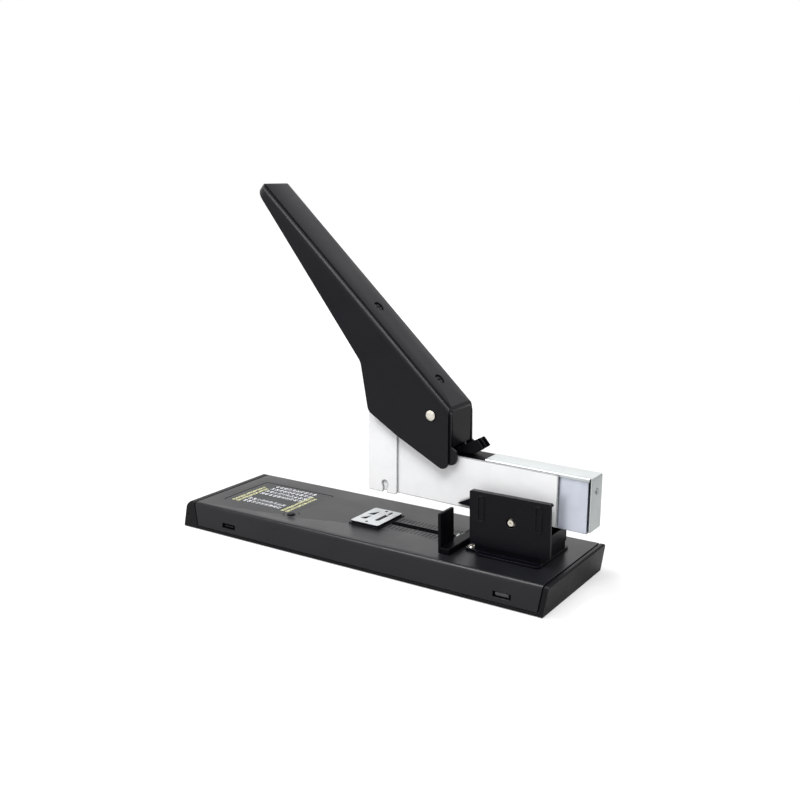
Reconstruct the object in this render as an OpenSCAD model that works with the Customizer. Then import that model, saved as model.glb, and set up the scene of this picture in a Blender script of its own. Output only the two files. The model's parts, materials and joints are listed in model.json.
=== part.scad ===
// A heavy-duty desk stapler with a long lever, a swinging head and a sliding magazine cover.
// X runs along the base towards its rear, Y runs across it and Z points up from the table.
// The origin lies on the table, under the middle of the steel shell.

/* [Base] */
// length of the folded steel shell along X
shell_len = 273.2; // [250:0.1:290]
// half width of the base at the foot of the shell
base_half = 41; // [39:0.5:44]
// height of the shell's top above the table
base_height = 19.5; // [19:0.5:21]
// height of the plastic lip that shows under the shell
lip_height = 3; // [2.6:0.1:3.4]
// gap between the table and the tray
table_gap = 0.5; // [0.3:0.1:0.8]
// thickness of the shell's sheet
shell_wall = 1.2; // [1:0.1:1.4]
// lean of the shell's sides from upright in degrees
side_lean = 3; // [1:0.5:4]
// outer radius of the shell's long bends
bend_radius = 2.6; // [2:0.1:3]
// length of a side window with its clip
window_len = 12; // [10:0.5:14]
// height of a side window
window_high = 3.6; // [3:0.1:4]
// distance from the middle to the front windows
front_window_x = 104; // [95:1:112]
// distance from the middle to the rear windows
rear_window_x = 111; // [100:1:118]
// height of the middle of the side windows
window_z = 7.8; // [7:0.1:9]
// thickness of the grip pad under the base
pad_thick = 1.4; // [1:0.1:2]
// half length of the grip pad
pad_half_len = 118; // [100:1:122]
// half width of the grip pad
pad_half_wide = 31; // [26:1:34]
// thickness of the front cap at its top
front_cap_top = 5.7; // [5:0.1:6.4]
// reach of the front cap's foot in front of the shell
front_cap_foot = 11.2; // [10:0.1:13]
// reach of the rear cap behind the shell
rear_cap_reach = 3.8; // [3.4:0.1:5]
// reach of the rear cap's foot behind the shell
rear_cap_foot = 0.6; // [0.4:0.1:2]
// depth of the chamfer along the top of the caps
cap_chamfer = 3.6; // [3:0.1:4.5]
// thickness of the steel plate under the shell
plate_thick = 2; // [1.6:0.1:2]

/* [Size chart] */
// length of the recess for the size chart
chart_len = 65; // [55:1:70]
// half width of the recess for the size chart
chart_half = 23.6; // [20:0.2:25]
// place of the middle of the size chart along X
chart_x = -92.6; // [-94:0.2:-88]
// depth of the recess for the size chart
chart_depth = 0.5; // [0.4:0.05:0.6]
// radius of the round plug at the chart's corner
plug_radius = 2.9; // [2.5:0.1:3.2]

/* [Anvil] */
// place of the middle of the anvil along X
anvil_x = -6; // [-7:0.1:-5]
// length of the anvil plate along X
anvil_len = 22.4; // [21:0.2:24]
// half width of the anvil plate
anvil_half = 14.4; // [13:0.2:15]
// thickness of the black seat under the anvil
seat_thick = 0.6; // [0.4:0.1:0.8]
// thickness of the anvil plate
anvil_thick = 1.5; // [1.2:0.1:1.6]
// depth of the grooves that curl the staple legs
groove_depth = 0.8; // [0.6:0.05:0.9]
// length of one curling groove
groove_len = 6.4; // [5.8:0.1:6.6]
// width of one curling groove
groove_wide = 2.3; // [2:0.1:2.6]

/* [Paper stop] */
// length of the bar of the paper stop along X
stop_len = 7.9; // [7:0.1:9]
// height of the bar of the paper stop
stop_high = 3.9; // [3.5:0.1:4.2]
// half width of the paper stop
stop_half = 30; // [26:0.5:34]
// place of the front of the paper stop along X
stop_x = 61.3; // [60:0.1:61.6]
// thickness of the upright fins
fin_thick = 2; // [1.8:0.1:2.6]
// distance from the middle to the inner edge of a fin
fin_inner = 14.4; // [14:0.1:15.5]
// height of the top of the fins above the table
fin_top = 45; // [40:0.5:46]
// half width of the slot in the shell
slot_half = 3; // [2.6:0.1:3.2]
// front end of the slot along X
slot_front = 6.6; // [6.5:0.1:8]
// rear end of the slot along X
slot_rear = 71; // [70:0.1:71.2]
// distance between two marks of the depth scale
tick_pitch = 3; // [3:0.1:4]
// length of one mark of the depth scale
tick_len = 6.5; // [4:0.1:7]
// number of marks on each side of the slot
tick_count = 17; // [8:1:17]

/* [Pedestal] */
// place of the head's axle along X
axle_x = 104.3; // [104:0.1:105]
// height of the head's axle above the table
axle_z = 43.3; // [43:0.1:44]
// radius of the axle pins
axle_radius = 2.4; // [2.2:0.05:2.5]
// distance from the middle to the inside of the bracket's walls
bracket_inner = 14.2; // [14.1:0.1:14.4]
// thickness of the bracket's walls
bracket_wall = 2; // [1.8:0.1:2.1]
// thickness of the bracket's foot
foot_thick = 1.5; // [1.2:0.1:1.8]
// half width of the bracket's foot
foot_half = 21; // [20:0.2:24]
// front end of the bracket's foot along X
foot_front = 71.6; // [71:0.1:73]
// rear end of the bracket's foot along X
foot_rear = 124.6; // [124.4:0.1:128]
// height of the top of the bracket's walls
bracket_top = 57; // [52:0.5:57]
// thickness of the outer side plates
cheek_thick = 1.7; // [1.5:0.1:2]
// front end of the outer side plates along X
cheek_front = 76.4; // [75:0.1:78]
// rear end of the near side plate along X
near_rear = 130.2; // [128:0.1:132]
// rear end of the far side plate along X
far_rear = 124; // [122:0.1:132]
// height of the top of the outer side plates
cheek_top = 59.2; // [59:0.1:60]
// height of a raised oblong on the side plates
oblong_high = 16.5; // [14:0.5:18]
// radius of the ends of a raised oblong
oblong_radius = 2.3; // [2:0.1:2.6]

/* [Head] */
// tilt of the head at rest, nose up, in degrees
head_tilt = 1.2; // [0.8:0.1:1.3]
// half width of the chrome housing
housing_half = 9.2; // [9.1:0.05:9.22]
// thickness of the housing's side plates
housing_wall = 1; // [0.9:0.05:1]
// height of the housing's lower edge
housing_low = 43.2; // [43.1:0.1:43.3]
// height of the housing's upper edge behind the handle
housing_high = 75.2; // [75.1:0.1:75.6]
// rear end of the housing along X
housing_rear = 129.5; // [125:0.5:131]
// height of the top of the housing's tower
tower_high = 108; // [107.6:0.1:108]
// half width of the nose sleeve
sleeve_half = 10.35; // [10.3:0.01:10.4]
// thickness of the nose sleeve
sleeve_wall = 1.1; // [1:0.05:1.12]
// front face of the nose sleeve along X
nose_x = -5.2; // [-5.4:0.1:-5]
// rear edge of the nose sleeve along X
seam_x = 18; // [16:0.5:20]
// height of the nose's lower edge
nose_low = 41.9; // [41.7:0.1:42.1]
// radius of the nose's upright bends
nose_bend = 2.2; // [1.8:0.1:2.4]
// half width of the carrier's arms, outside
carrier_half = 11.3; // [11.2:0.02:11.32]
// thickness of the carrier's arms
carrier_wall = 2; // [1.8:0.05:2.02]
// height of the carrier's underside
carrier_low = 38.4; // [38:0.1:39]

/* [Magazine] */
// inner half width of the staple channel
channel_inner = 6.55; // [6.5:0.05:6.6]
// thickness of the channel's sheet
channel_wall = 0.55; // [0.5:0.05:0.55]
// height of the channel's underside
channel_low = 42.4; // [42.2:0.1:42.5]
// height of the channel's upper edges
channel_high = 74.9; // [74:0.1:75]
// front end of the channel along X
channel_front = -2.4; // [-2.45:0.05:-2.3]
// rear end of the channel along X
channel_rear = 147.5; // [144:0.5:148]
// half width of the sliding cover
cover_half = 7.9; // [7.85:0.05:7.95]
// thickness of the sliding cover's sheet
cover_sheet = 0.5; // [0.4:0.05:0.5]
// height of the cover's top
cover_high = 76.2; // [76.1:0.1:76.4]
// depth of the cover's flanges
flange_deep = 2.2; // [2:0.1:4]
// front edge of the cover along X
cover_front = 80.6; // [80.4:0.1:82]
// rear face of the cover's end plate along X
cover_rear = 149.8; // [149:0.1:151]
// height of the guide rod
rod_z = 67; // [66.5:0.1:67]
// radius of the guide rod
rod_radius = 1.6; // [1.4:0.05:1.7]
// length of the pusher along X
pusher_len = 12; // [10:0.5:13]
// number of coils of the pusher's spring
pusher_coils = 34; // [20:1:36]

/* [Handle] */
// place of the handle's pivot along X, with the head level
pivot_x = 45.6; // [45.5:0.1:46]
// height of the handle's pivot, with the head level
pivot_z = 99.6; // [99.4:0.1:99.8]
// angle of the handle at rest above the head, in degrees
handle_rest = 42; // [41:0.5:42.5]
// distance from the pivot to the handle's tip
handle_len = 192; // [180:1:195]
// half width of the handle
handle_half = 14.6; // [14.4:0.05:14.8]
// distance from the pivot to the face of the handle's spine
spine_rise = 13; // [12.9:0.05:13.1]
// thickness of the handle's cover
handle_wall = 1.5; // [1.3:0.05:1.5]
// thickness of the lever inside the handle
lever_wall = 1.5; // [1.3:0.05:1.5]
// radius of the handle's long upper edges
ridge_radius = 4.2; // [2:0.1:4.6]
// radius of the handle's upper corners at its tip
tip_radius = 10; // [8:0.5:12]
// radius of the rivet at the pivot
rivet_radius = 2.6; // [2.4:0.1:2.8]
// radius of the rivet's domed head
rivet_head = 3.2; // [3:0.1:3.4]
// fall of the push arm below the spine's line in degrees
arm_fall = 22; // [21:0.5:23]
// radius of the push collars
push_radius = 4; // [3.6:0.1:4.2]

/* [Driver] */
// thickness of the driver blade
blade_thick = 1.2; // [1:0.05:1.25]
// half width of the driver blade
blade_half = 6.4; // [6:0.1:6.5]
// height of the blade's lower edge at rest
blade_low = 73; // [72:0.5:74]
// height of the driver block
block_high = 6; // [5:0.1:6.2]
// rear face of the driver block along X
block_rear = 7.4; // [7:0.1:7.6]

/* [Latch] */
// place of the latch's pin along X
latch_x = 53.6; // [53.2:0.1:54]
// height of the latch's pin
latch_z = 80; // [79.8:0.1:80.4]
// half width of the latch
latch_half = 4.9; // [4.5:0.1:5]
// length of the latch from its pin to its tip
latch_len = 24; // [23:0.5:25]

/* [Fits] */
// radial play of a pin that turns in its hole
turn_play = 0.05; // [0.03:0.01:0.08]
// gap between pieces that slide past each other
slide_gap = 0.3; // [0.25:0.05:0.35]
// gap between pieces that are fixed together
snug_gap = 0.05; // [0.02:0.01:0.1]
// depth of the small steps and grooves
fine_step = 0.35; // [0.2:0.05:0.4]

/* [Hidden] */

// fineness of the round features
$fn = 48;
// a quarter and a half turn, for laying profiles down
quarter = 90;
half_turn = 180;
// overrun of the cutting shapes
cut = 1;
// straight steps in one rounded corner
arc_steps = 7;

black_steel = [0.07, 0.07, 0.075];
black_plastic = [0.045, 0.045, 0.05];
rubber_grey = [0.03, 0.03, 0.03];
chrome = [0.86, 0.87, 0.89];
plain_steel = [0.62, 0.63, 0.64];
chart_grey = [0.13, 0.13, 0.135];
pin_cream = [0.83, 0.8, 0.72];

// derived sizes of the base
shell_end = shell_len / 2;
lip_end = shell_end - 2.5 * shell_wall;
lip_gap = fine_step;
cap_gap = 3.2 * fine_step;
cap_wall = 1.6 * shell_wall;
rim_len = 4 * shell_wall;
tray_top = lip_height;
shell_under = base_height - shell_wall;
plate_low = shell_under - plate_thick;
foot_top = base_height + foot_thick;
anvil_top = base_height + seat_thick + anvil_thick;

// derived sizes of the pedestal
bracket_outer = bracket_inner + bracket_wall;
cheek_outer = bracket_outer + cheek_thick;
cheek_low = foot_top + 1.7 * bend_radius;
carrier_inner = carrier_half - carrier_wall;
screw_radius = 1.25 * axle_radius;

// derived sizes of the magazine
channel_outer = channel_inner + channel_wall;
housing_inner = housing_half - housing_wall;
sleeve_inner = sleeve_half - sleeve_wall;
blade_front = nose_x + sleeve_wall + 4 * snug_gap;
pusher_front = channel_front + slide_gap;
pusher_low = channel_low + channel_wall + slide_gap;
pusher_high = rod_z + 2.4 * rod_radius;
flange_low = cover_high - flange_deep;
end_plate_low = housing_low + 2 * slide_gap;
rod_front = pusher_front + pusher_len / 4;

// derived sizes of the handle
cover_inner = handle_half - handle_wall;
lever_outer = cover_inner - snug_gap;
lever_inner = lever_outer - lever_wall;
lever_rise = spine_rise - handle_wall - snug_gap;
arm_rise = lever_rise - lever_wall;
arm_half = 0.45 * housing_inner;
// size that the outlines at the handle's root follow, so that the root stays over the latch
root_size = 9.7 * (pivot_z - latch_z);

// the push collars bear on the driver block, and the block's top lies a little under them
blade_rear = blade_front + blade_thick;
collar_place = blade_rear + 0.65 * (block_rear - blade_rear);
arm_len = (pivot_x - collar_place) / cos(handle_rest - arm_fall);
block_top = pivot_z + arm_len * sin(handle_rest - arm_fall) - push_radius - 2 * slide_gap;

// corner points as [along, up, radius], turned into a path with rounded corners
function unit(v) = v / norm(v);
function bend_angle(from, to) = (to - from + 3 * half_turn) % (2 * half_turn) - half_turn;
function arc_points(mid, radius, from, turn, steps) =
  [for (i = [0:steps]) mid + radius * [cos(from + turn * i / steps), sin(from + turn * i / steps)]];
function corner_points(before, at, after, radius) =
  let (u = unit(before - at), v = unit(after - at), spread = acos(u * v) / 2)
  let (mid = at + unit(u + v) * radius / sin(spread))
  let (start = at + u * radius / tan(spread) - mid, end = at + v * radius / tan(spread) - mid)
  let (from = atan2(start[1], start[0]), to = atan2(end[1], end[0]))
  arc_points(mid, radius, from, bend_angle(from, to), arc_steps);
function flat(p) = [p[0], p[1]];
function soft_path(points) = [for (i = [0:len(points) - 1])
  let (n = len(points), p = points[i])
  each (p[2] == 0 ? [flat(p)]
    : corner_points(flat(points[(i + n - 1) % n]), flat(p), flat(points[(i + 1) % n]), p[2]))];
function soft_corners(x, y, radius) = soft_path(
  [[-x, -y, radius], [x, -y, radius], [x, y, radius], [-x, y, radius]]);

// a profile of X and Z, made as wide as asked across Y
module across_y(from, to) {
  translate([0, (from + to) / 2, 0])
    rotate([quarter, 0, 0])
      linear_extrude(to - from, center = true)
        children();
}

// a profile of Y and Z, made from one X to another
module along_x(from, to) {
  translate([from, 0, 0])
    rotate([quarter, 0, quarter])
      linear_extrude(to - from)
        children();
}

// a profile of X and Y, made from one height to another
module rise_z(from, to) {
  translate([0, 0, from])
    linear_extrude(to - from)
      children();
}

// a block given by its lowest and highest corners
module block(low, high) {
  translate(low)
    cube(high - low);
}

// a round bar across Y
module bar_y(x, z, radius, from, to) {
  translate([x, to, z])
    rotate([quarter, 0, 0])
      cylinder(r = radius, h = to - from);
}

// a round bar along X
module bar_x(from, to, y, z, radius) {
  translate([from, y, z])
    rotate([0, quarter, 0])
      cylinder(r = radius, h = to - from);
}

// a round bar that stands on Z
module bar_z(x, y, radius, from, to) {
  translate([x, y, from])
    cylinder(r = radius, h = to - from);
}

// the same thing on both sides of the middle plane
module both_sides() {
  children();
  mirror([0, 1, 0])
    children();
}

// the head's pieces are drawn level, then tilted about the axle
module on_head() {
  translate([axle_x, 0, axle_z])
    rotate([0, head_tilt, 0])
      translate([-axle_x, 0, -axle_z])
        children();
}

// the handle's pieces are drawn with the pivot at zero and the spine along X
module on_handle() {
  on_head()
    translate([pivot_x, 0, pivot_z])
      rotate([0, handle_rest, 0])
        rotate([0, 0, half_turn])
          children();
}

// section of the base across Y, moved inwards by inset, down to the height low
module base_section(inset, low) {
  foot_y = base_half - inset / cos(side_lean) + (lip_height - low) * tan(side_lean);
  top = base_height - inset;
  top_y = foot_y - (top - low) * tan(side_lean);
  bend = max(0, bend_radius - inset);
  polygon(soft_path([[-foot_y, low, 0], [foot_y, low, 0], [top_y, top, bend], [-top_y, top, bend]]));
}

// centres of the two rows of fixing screws
screw_front_x = foot_front + 1.2 * screw_radius;
screw_rear_x = far_rear - bracket_wall - 1.2 * screw_radius;
screw_front_y = 0.9 * bracket_inner;
screw_rear_y = foot_half - 1.4 * screw_radius;
screw_places = [[screw_front_x, screw_front_y], [screw_front_x, -screw_front_y],
  [screw_rear_x, screw_rear_y - bracket_wall * 3], [screw_rear_x, bracket_wall * 3 - screw_rear_y]];
rivet_y = 0.8 * anvil_half;
plug_x = chart_x + chart_len / 2 - plug_radius / 2;
plug_y = 2 * fine_step - chart_half;

// recess for the size chart, with a round lobe for the plug
module chart_outline(inset) {
  translate([chart_x, 0])
    polygon(soft_corners(chart_len / 2 - inset, chart_half - inset, plug_radius));
  translate([plug_x, plug_y])
    circle(2 * plug_radius - inset);
}

module slot_outline(half, front, rear) {
  translate([(front + rear) / 2, 0])
    square([rear - front - 2 * half, 2 * half], center = true);
  translate([front + half, 0])
    circle(half);
  translate([rear - half, 0])
    circle(half);
}

tick_start = slot_front + tick_pitch;
tick_wide = 1.3 * fine_step;
tick_inner = slot_half + 2 * tick_wide;

// reach of the shell's leaning ends at a height
function lean_end(z) =
  lip_end + (z - lip_height) * (shell_end - lip_end) / (base_height - lip_height);

module base_shell() {
  color(black_steel)
  difference() {
    intersection() {
      along_x(-shell_end, shell_end)
        base_section(0, lip_height);
      across_y(-base_half - cut, base_half + cut)
        polygon([[-lean_end(lip_height - cut), lip_height - cut],
          [lean_end(lip_height - cut), lip_height - cut],
          [lean_end(base_height + cut), base_height + cut],
          [-lean_end(base_height + cut), base_height + cut]]);
    }
    along_x(-shell_end - cut, shell_end + cut)
      base_section(shell_wall, lip_height - cut);
    rise_z(base_height - chart_depth, base_height + cut)
      chart_outline(0);
    bar_z(plug_x, plug_y, plug_radius / 2, shell_under - cut, base_height + cut);
    rise_z(shell_under - cut, base_height + cut)
      slot_outline(slot_half, slot_front, slot_rear);
    for (i = [0:tick_count - 1])
      both_sides()
        block([tick_start + i * tick_pitch, tick_inner, base_height - fine_step],
          [tick_start + i * tick_pitch + tick_wide, tick_inner + tick_len, base_height + cut]);
    both_sides() {
      bar_z(anvil_x, rivet_y, groove_wide / 2, shell_under - cut, base_height + cut);
      for (x = [-front_window_x, rear_window_x])
        block([x - window_len / 2, base_half - 3 * shell_wall, window_z - window_high / 2],
          [x + window_len / 2, base_half + cut, window_z + window_high / 2]);
    }
    for (p = screw_places)
      bar_z(p[0], p[1], screw_radius / 2, shell_under - cut, base_height + cut);
  }
}

tray_wall = 1.2 * shell_wall;
tray_half = base_half - 3 * shell_wall;
tray_end = shell_end - 2 * rim_len;
rib_places = [-tray_end, -front_window_x + window_len, -chart_len, anvil_x - anvil_len,
  foot_front + stop_len, tray_end];
clip_half = 0.34 * window_len;
clip_rise = 0.18 * window_high;

module base_tray() {
  color(black_plastic)
  difference() {
    union() {
      along_x(-lip_end, lip_end)
        translate([0, (table_gap + lip_height) / 2])
          square([2 * base_half, lip_height - table_gap], center = true);
      both_sides() {
        block([-tray_end, tray_half - tray_wall, tray_top - fine_step],
          [tray_end, tray_half, plate_low - snug_gap]);
        for (x = [-front_window_x, rear_window_x])
          block([x - clip_half, tray_half - fine_step, window_z - clip_rise],
            [x + clip_half, base_half - 0.7 * shell_wall, window_z + clip_rise]);
      }
      for (x = rib_places)
        block([x - tray_wall / 2, fine_step - tray_half, tray_top - fine_step],
          [x + tray_wall / 2, tray_half - fine_step, plate_low - snug_gap]);
    }
    both_sides()
      block([-lip_end - cut, base_half - 2 * fine_step, lip_height - 2 * fine_step],
        [lip_end + cut, base_half + cut, lip_height + cut]);
    rise_z(-cut, pad_thick + snug_gap)
      polygon(soft_corners(pad_half_len + snug_gap, pad_half_wide + snug_gap, bend_radius));
  }
}

module cap_section() {
  low_y = base_half;
  top_y = base_half - (base_height - lip_height) * tan(side_lean);
  polygon(soft_path([[-low_y, table_gap, 0], [low_y, table_gap, 0], [low_y, lip_height, 0],
    [top_y, base_height, bend_radius], [-top_y, base_height, bend_radius],
    [-low_y, lip_height, 0]]));
}

module cap_rim(from, to) {
  difference() {
    along_x(from, to)
      base_section(shell_wall + snug_gap, lip_height + snug_gap);
    along_x(from - cut, to + cut)
      base_section(shell_wall + tray_wall, lip_height + tray_wall);
  }
}

module front_cap() {
  face_x = -shell_end - front_cap_top;
  knee_x = -shell_end - 1.48 * front_cap_top;
  color(black_plastic) {
    difference() {
      intersection() {
        across_y(-base_half - cut, base_half + cut)
          polygon(soft_path([[-lip_end - lip_gap, table_gap, 0], [-lip_end - lip_gap, lip_height, 0],
            [-lip_end - cap_gap, lip_height, 0], [-shell_end - cap_gap, base_height, 0],
            [face_x, base_height, bend_radius], [knee_x, base_height - cap_chamfer, bend_radius],
            [-shell_end - front_cap_foot, table_gap, 0]]));
        along_x(-shell_end - front_cap_foot - cut, -lip_end)
          cap_section();
      }
      block([face_x + cap_wall / 2, tray_wall - tray_half, lip_height + tray_wall],
        [-lip_end, tray_half - tray_wall, base_height - cap_wall]);
      both_sides()
        bar_y(-shell_end - 1.17 * front_cap_top, base_height / 2, 2 * fine_step,
          base_half - 2 * shell_wall, base_half + cut);
    }
    cap_rim(-shell_end - cap_gap - snug_gap, rim_len - shell_end);
  }
}

module rear_cap() {
  chamfer = cap_wall / 2;
  reach_x = shell_end + rear_cap_reach;
  color(black_plastic) {
    difference() {
      intersection() {
        across_y(-base_half - cut, base_half + cut)
          polygon(soft_path([[lip_end + lip_gap, table_gap, 0],
            [shell_end + rear_cap_foot, table_gap, 0],
            [reach_x, base_height - chamfer, fine_step], [reach_x - chamfer, base_height, fine_step],
            [shell_end + cap_gap, base_height, 0], [lip_end + cap_gap, lip_height, 0],
            [lip_end + lip_gap, lip_height, 0]]));
        along_x(lip_end, reach_x + cut)
          cap_section();
      }
      block([lip_end, tray_wall - tray_half, base_height / 2],
        [shell_end + rear_cap_reach / 3, tray_half - tray_wall, base_height - cap_chamfer]);
    }
    cap_rim(shell_end - rim_len, shell_end + cap_gap + snug_gap);
  }
}

module grip_pad() {
  color(rubber_grey)
  rise_z(0, pad_thick)
    polygon(soft_corners(pad_half_len, pad_half_wide, bend_radius));
}

module stiffener_plate() {
  color(plain_steel)
  difference() {
    block([anvil_x - 1.5 * anvil_len, tray_wall - tray_half, plate_low],
      [tray_end, tray_half - tray_wall, shell_under]);
    rise_z(plate_low - cut, shell_under + cut)
      slot_outline(slot_half, slot_front, slot_rear);
    both_sides()
      bar_z(anvil_x, rivet_y, groove_wide / 2, plate_low - cut, shell_under + cut);
    for (p = screw_places)
      bar_z(p[0], p[1], screw_radius / 2, plate_low - cut, shell_under + cut);
  }
}

module size_chart() {
  color(chart_grey)
  difference() {
    rise_z(base_height - chart_depth, base_height - chart_depth / 3)
      chart_outline(fine_step);
    bar_z(plug_x, plug_y, plug_radius, base_height - chart_depth - cut, base_height + cut);
  }
}

module corner_plug() {
  color(black_plastic) {
    bar_z(plug_x, plug_y, plug_radius / 2 - snug_gap, plate_low, base_height - chart_depth);
    bar_z(plug_x, plug_y, plug_radius - snug_gap, base_height - chart_depth,
      base_height + fine_step);
    bar_z(plug_x, plug_y, plug_radius - 2 * fine_step, base_height + fine_step,
      base_height + 2 * fine_step);
  }
}

module anvil_seat() {
  color(black_steel)
  difference() {
    translate([anvil_x, 0, 0])
      rise_z(base_height, base_height + seat_thick)
        polygon(soft_corners(anvil_len / 2 + shell_wall, anvil_half + shell_wall, shell_wall));
    both_sides()
      bar_z(anvil_x, rivet_y, groove_wide / 2, base_height - cut, base_height + cut);
  }
}

// the curling grooves are cut by a large round bar that lies along X
curl_radius = (groove_len * groove_len / 4 + groove_depth * groove_depth) / (2 * groove_depth);
curl_x = anvil_x + 0.2 * anvil_len;
pin_groove_x = anvil_x - 0.26 * anvil_len;
pin_groove_turn = 28;

module curl_groove() {
  bar_x(-groove_wide / 2, groove_wide / 2, 0, anvil_top - groove_depth + curl_radius, curl_radius);
}

module anvil_plate() {
  seat_top = base_height + seat_thick;
  color(plain_steel)
  difference() {
    translate([anvil_x, 0, 0]) {
      rise_z(seat_top, anvil_top - fine_step)
        polygon(soft_corners(anvil_len / 2, anvil_half, shell_wall));
      rise_z(anvil_top - fine_step, anvil_top)
        polygon(soft_corners(anvil_len / 2 - fine_step, anvil_half - fine_step, shell_wall));
    }
    both_sides() {
      translate([curl_x, groove_len / 2, 0])
        curl_groove();
      translate([pin_groove_x, 0.9 * groove_len, 0])
        rotate([0, 0, -pin_groove_turn])
          curl_groove();
      bar_z(anvil_x, rivet_y, groove_wide / 2, seat_top - cut, anvil_top + cut);
    }
    translate([pin_groove_x, 0, anvil_top - groove_depth / 2])
      cylinder(r = groove_wide, h = groove_depth, $fn = 3);
  }
}

module anvil_rivets() {
  color(plain_steel)
  both_sides() {
    bar_z(anvil_x, rivet_y, groove_wide / 2 - snug_gap, plate_low - fine_step, anvil_top);
    bar_z(anvil_x, rivet_y, groove_wide, plate_low - 3 * fine_step, plate_low - fine_step / 7);
  }
}

module pedestal_bracket() {
  color(black_steel)
  difference() {
    union() {
      rise_z(base_height, foot_top)
        difference() {
          polygon(soft_path([[foot_front, -bracket_outer, bend_radius],
            [cheek_front + bend_radius, -bracket_outer, 0], [cheek_front + 3 * bend_radius, -foot_half, 0],
            [foot_rear, -foot_half, bend_radius], [foot_rear, foot_half, bend_radius],
            [cheek_front + 3 * bend_radius, foot_half, 0], [cheek_front + bend_radius, bracket_outer, 0],
            [foot_front, bracket_outer, bend_radius]]));
          for (p = screw_places)
            translate(p)
              circle(screw_radius / 2);
        }
      both_sides()
        across_y(bracket_inner, bracket_outer)
          polygon(soft_path([[cheek_front + bend_radius, foot_top - fine_step, 0],
            [far_rear, foot_top - fine_step, 0], [far_rear, bracket_top, 2 * bend_radius],
            [cheek_front + bend_radius, bracket_top, 2 * bend_radius]]));
      block([far_rear - bracket_wall, -bracket_inner - fine_step, foot_top - fine_step],
        [far_rear, bracket_inner + fine_step, foot_top + 5.3 * bend_radius]);
    }
    both_sides()
      bar_y(axle_x, axle_z, axle_radius + snug_gap, bracket_inner - cut, bracket_outer + cut);
  }
}

oblong_z = cheek_top - oblong_high / 2 - oblong_radius;
oblong_front = cheek_front + 0.145 * (near_rear - cheek_front);
oblong_rear = near_rear - 0.145 * (near_rear - cheek_front);

module oblong_outline(x, inset) {
  translate([x, oblong_z])
    rotate(quarter)
      slot_outline(oblong_radius - inset, -oblong_high / 2 + inset, oblong_high / 2 - inset);
}

// an outer side plate with a folded top, two raised oblongs and a round well for the axle's end
module side_plate(rear) {
  difference() {
    union() {
      across_y(bracket_outer + snug_gap, cheek_outer)
        polygon(soft_path([[cheek_front, cheek_low, 0], [rear, cheek_low, 0],
          [rear, cheek_top, shell_wall], [cheek_front, cheek_top, shell_wall]]));
      across_y(bracket_inner, cheek_outer)
        polygon(soft_path([[cheek_front, cheek_top - cheek_thick, 0], [rear, cheek_top - cheek_thick, 0],
          [rear, cheek_top, shell_wall], [cheek_front, cheek_top, shell_wall]]));
      for (x = [oblong_front, oblong_rear])
        if (x + oblong_radius < rear)
          across_y(cheek_outer - fine_step, cheek_outer + 2 * fine_step)
            oblong_outline(x, 0);
    }
    for (x = [oblong_front, oblong_rear])
      if (x + oblong_radius < rear)
        across_y(cheek_outer, cheek_outer + cut)
          oblong_outline(x, 2 * fine_step);
    bar_y(axle_x, axle_z, 1.3 * axle_radius, bracket_outer - cut, cheek_outer + cut);
  }
}

module near_side_plate() {
  color(black_steel)
  mirror([0, 1, 0])
    side_plate(near_rear);
}

module far_side_plate() {
  color(black_steel)
  side_plate(far_rear);
}

module pedestal_screws() {
  color(pin_cream)
  for (p = screw_places) {
    bar_z(p[0], p[1], screw_radius / 2 - snug_gap, plate_low - fine_step, foot_top + fine_step / 7);
    difference() {
      union() {
        bar_z(p[0], p[1], screw_radius / 1.2, foot_top, foot_top + 2 * fine_step);
        bar_z(p[0], p[1], screw_radius / 1.5, foot_top + fine_step, foot_top + 3 * fine_step);
      }
      block([p[0] - screw_radius, p[1] - fine_step, foot_top + 2 * fine_step],
        [p[0] + screw_radius, p[1] + fine_step, foot_top + cut + 3 * fine_step]);
    }
  }
}

module axle_pins() {
  pin_end = cheek_outer - fine_step;
  color(pin_cream)
  both_sides()
    difference() {
      union() {
        bar_y(axle_x, axle_z, axle_radius, carrier_inner + slide_gap, bracket_outer);
        bar_y(axle_x, axle_z, 0.78 * axle_radius, bracket_outer - fine_step, pin_end + fine_step);
      }
      bar_y(axle_x, axle_z, axle_radius / 4, pin_end, pin_end + cut);
    }
}

module axle_collars() {
  color(black_steel)
  both_sides()
    difference() {
      bar_y(axle_x, axle_z, 2 * axle_radius, carrier_half + slide_gap, bracket_inner - snug_gap);
      bar_y(axle_x, axle_z, axle_radius + snug_gap, carrier_half - cut, bracket_inner + cut);
    }
}

stop_low = base_height + slide_gap;
stop_top = base_height + stop_high;
stop_rear = stop_x + stop_len;
stop_screw_x = stop_x - 0.2 * stop_len;
key_half = slot_half - slide_gap;

module paper_stop() {
  color(black_plastic)
  difference() {
    union() {
      across_y(-stop_half, stop_half)
        polygon(soft_path([[stop_x, stop_low, 0], [stop_rear, stop_low, 0],
          [stop_rear, stop_top, 2 * fine_step], [stop_x, stop_top, 0]]));
      both_sides()
        along_x(stop_x, stop_x + fin_thick)
          polygon(soft_path([[fin_inner, stop_low, 0], [stop_half, stop_low, 0],
            [stop_half, fin_top, 2 * fine_step], [fin_inner, fin_top, 2 * fine_step]]));
      bar_z(stop_screw_x, 0, 1.3 * slot_half, stop_low, stop_low + 3 * fine_step);
    }
    bar_z(stop_screw_x, 0, screw_radius / 2 + snug_gap, stop_low - cut, stop_top + cut);
    bar_z(stop_screw_x, 0, screw_radius + snug_gap, stop_low + 3 * fine_step, stop_top + cut);
  }
}

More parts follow.
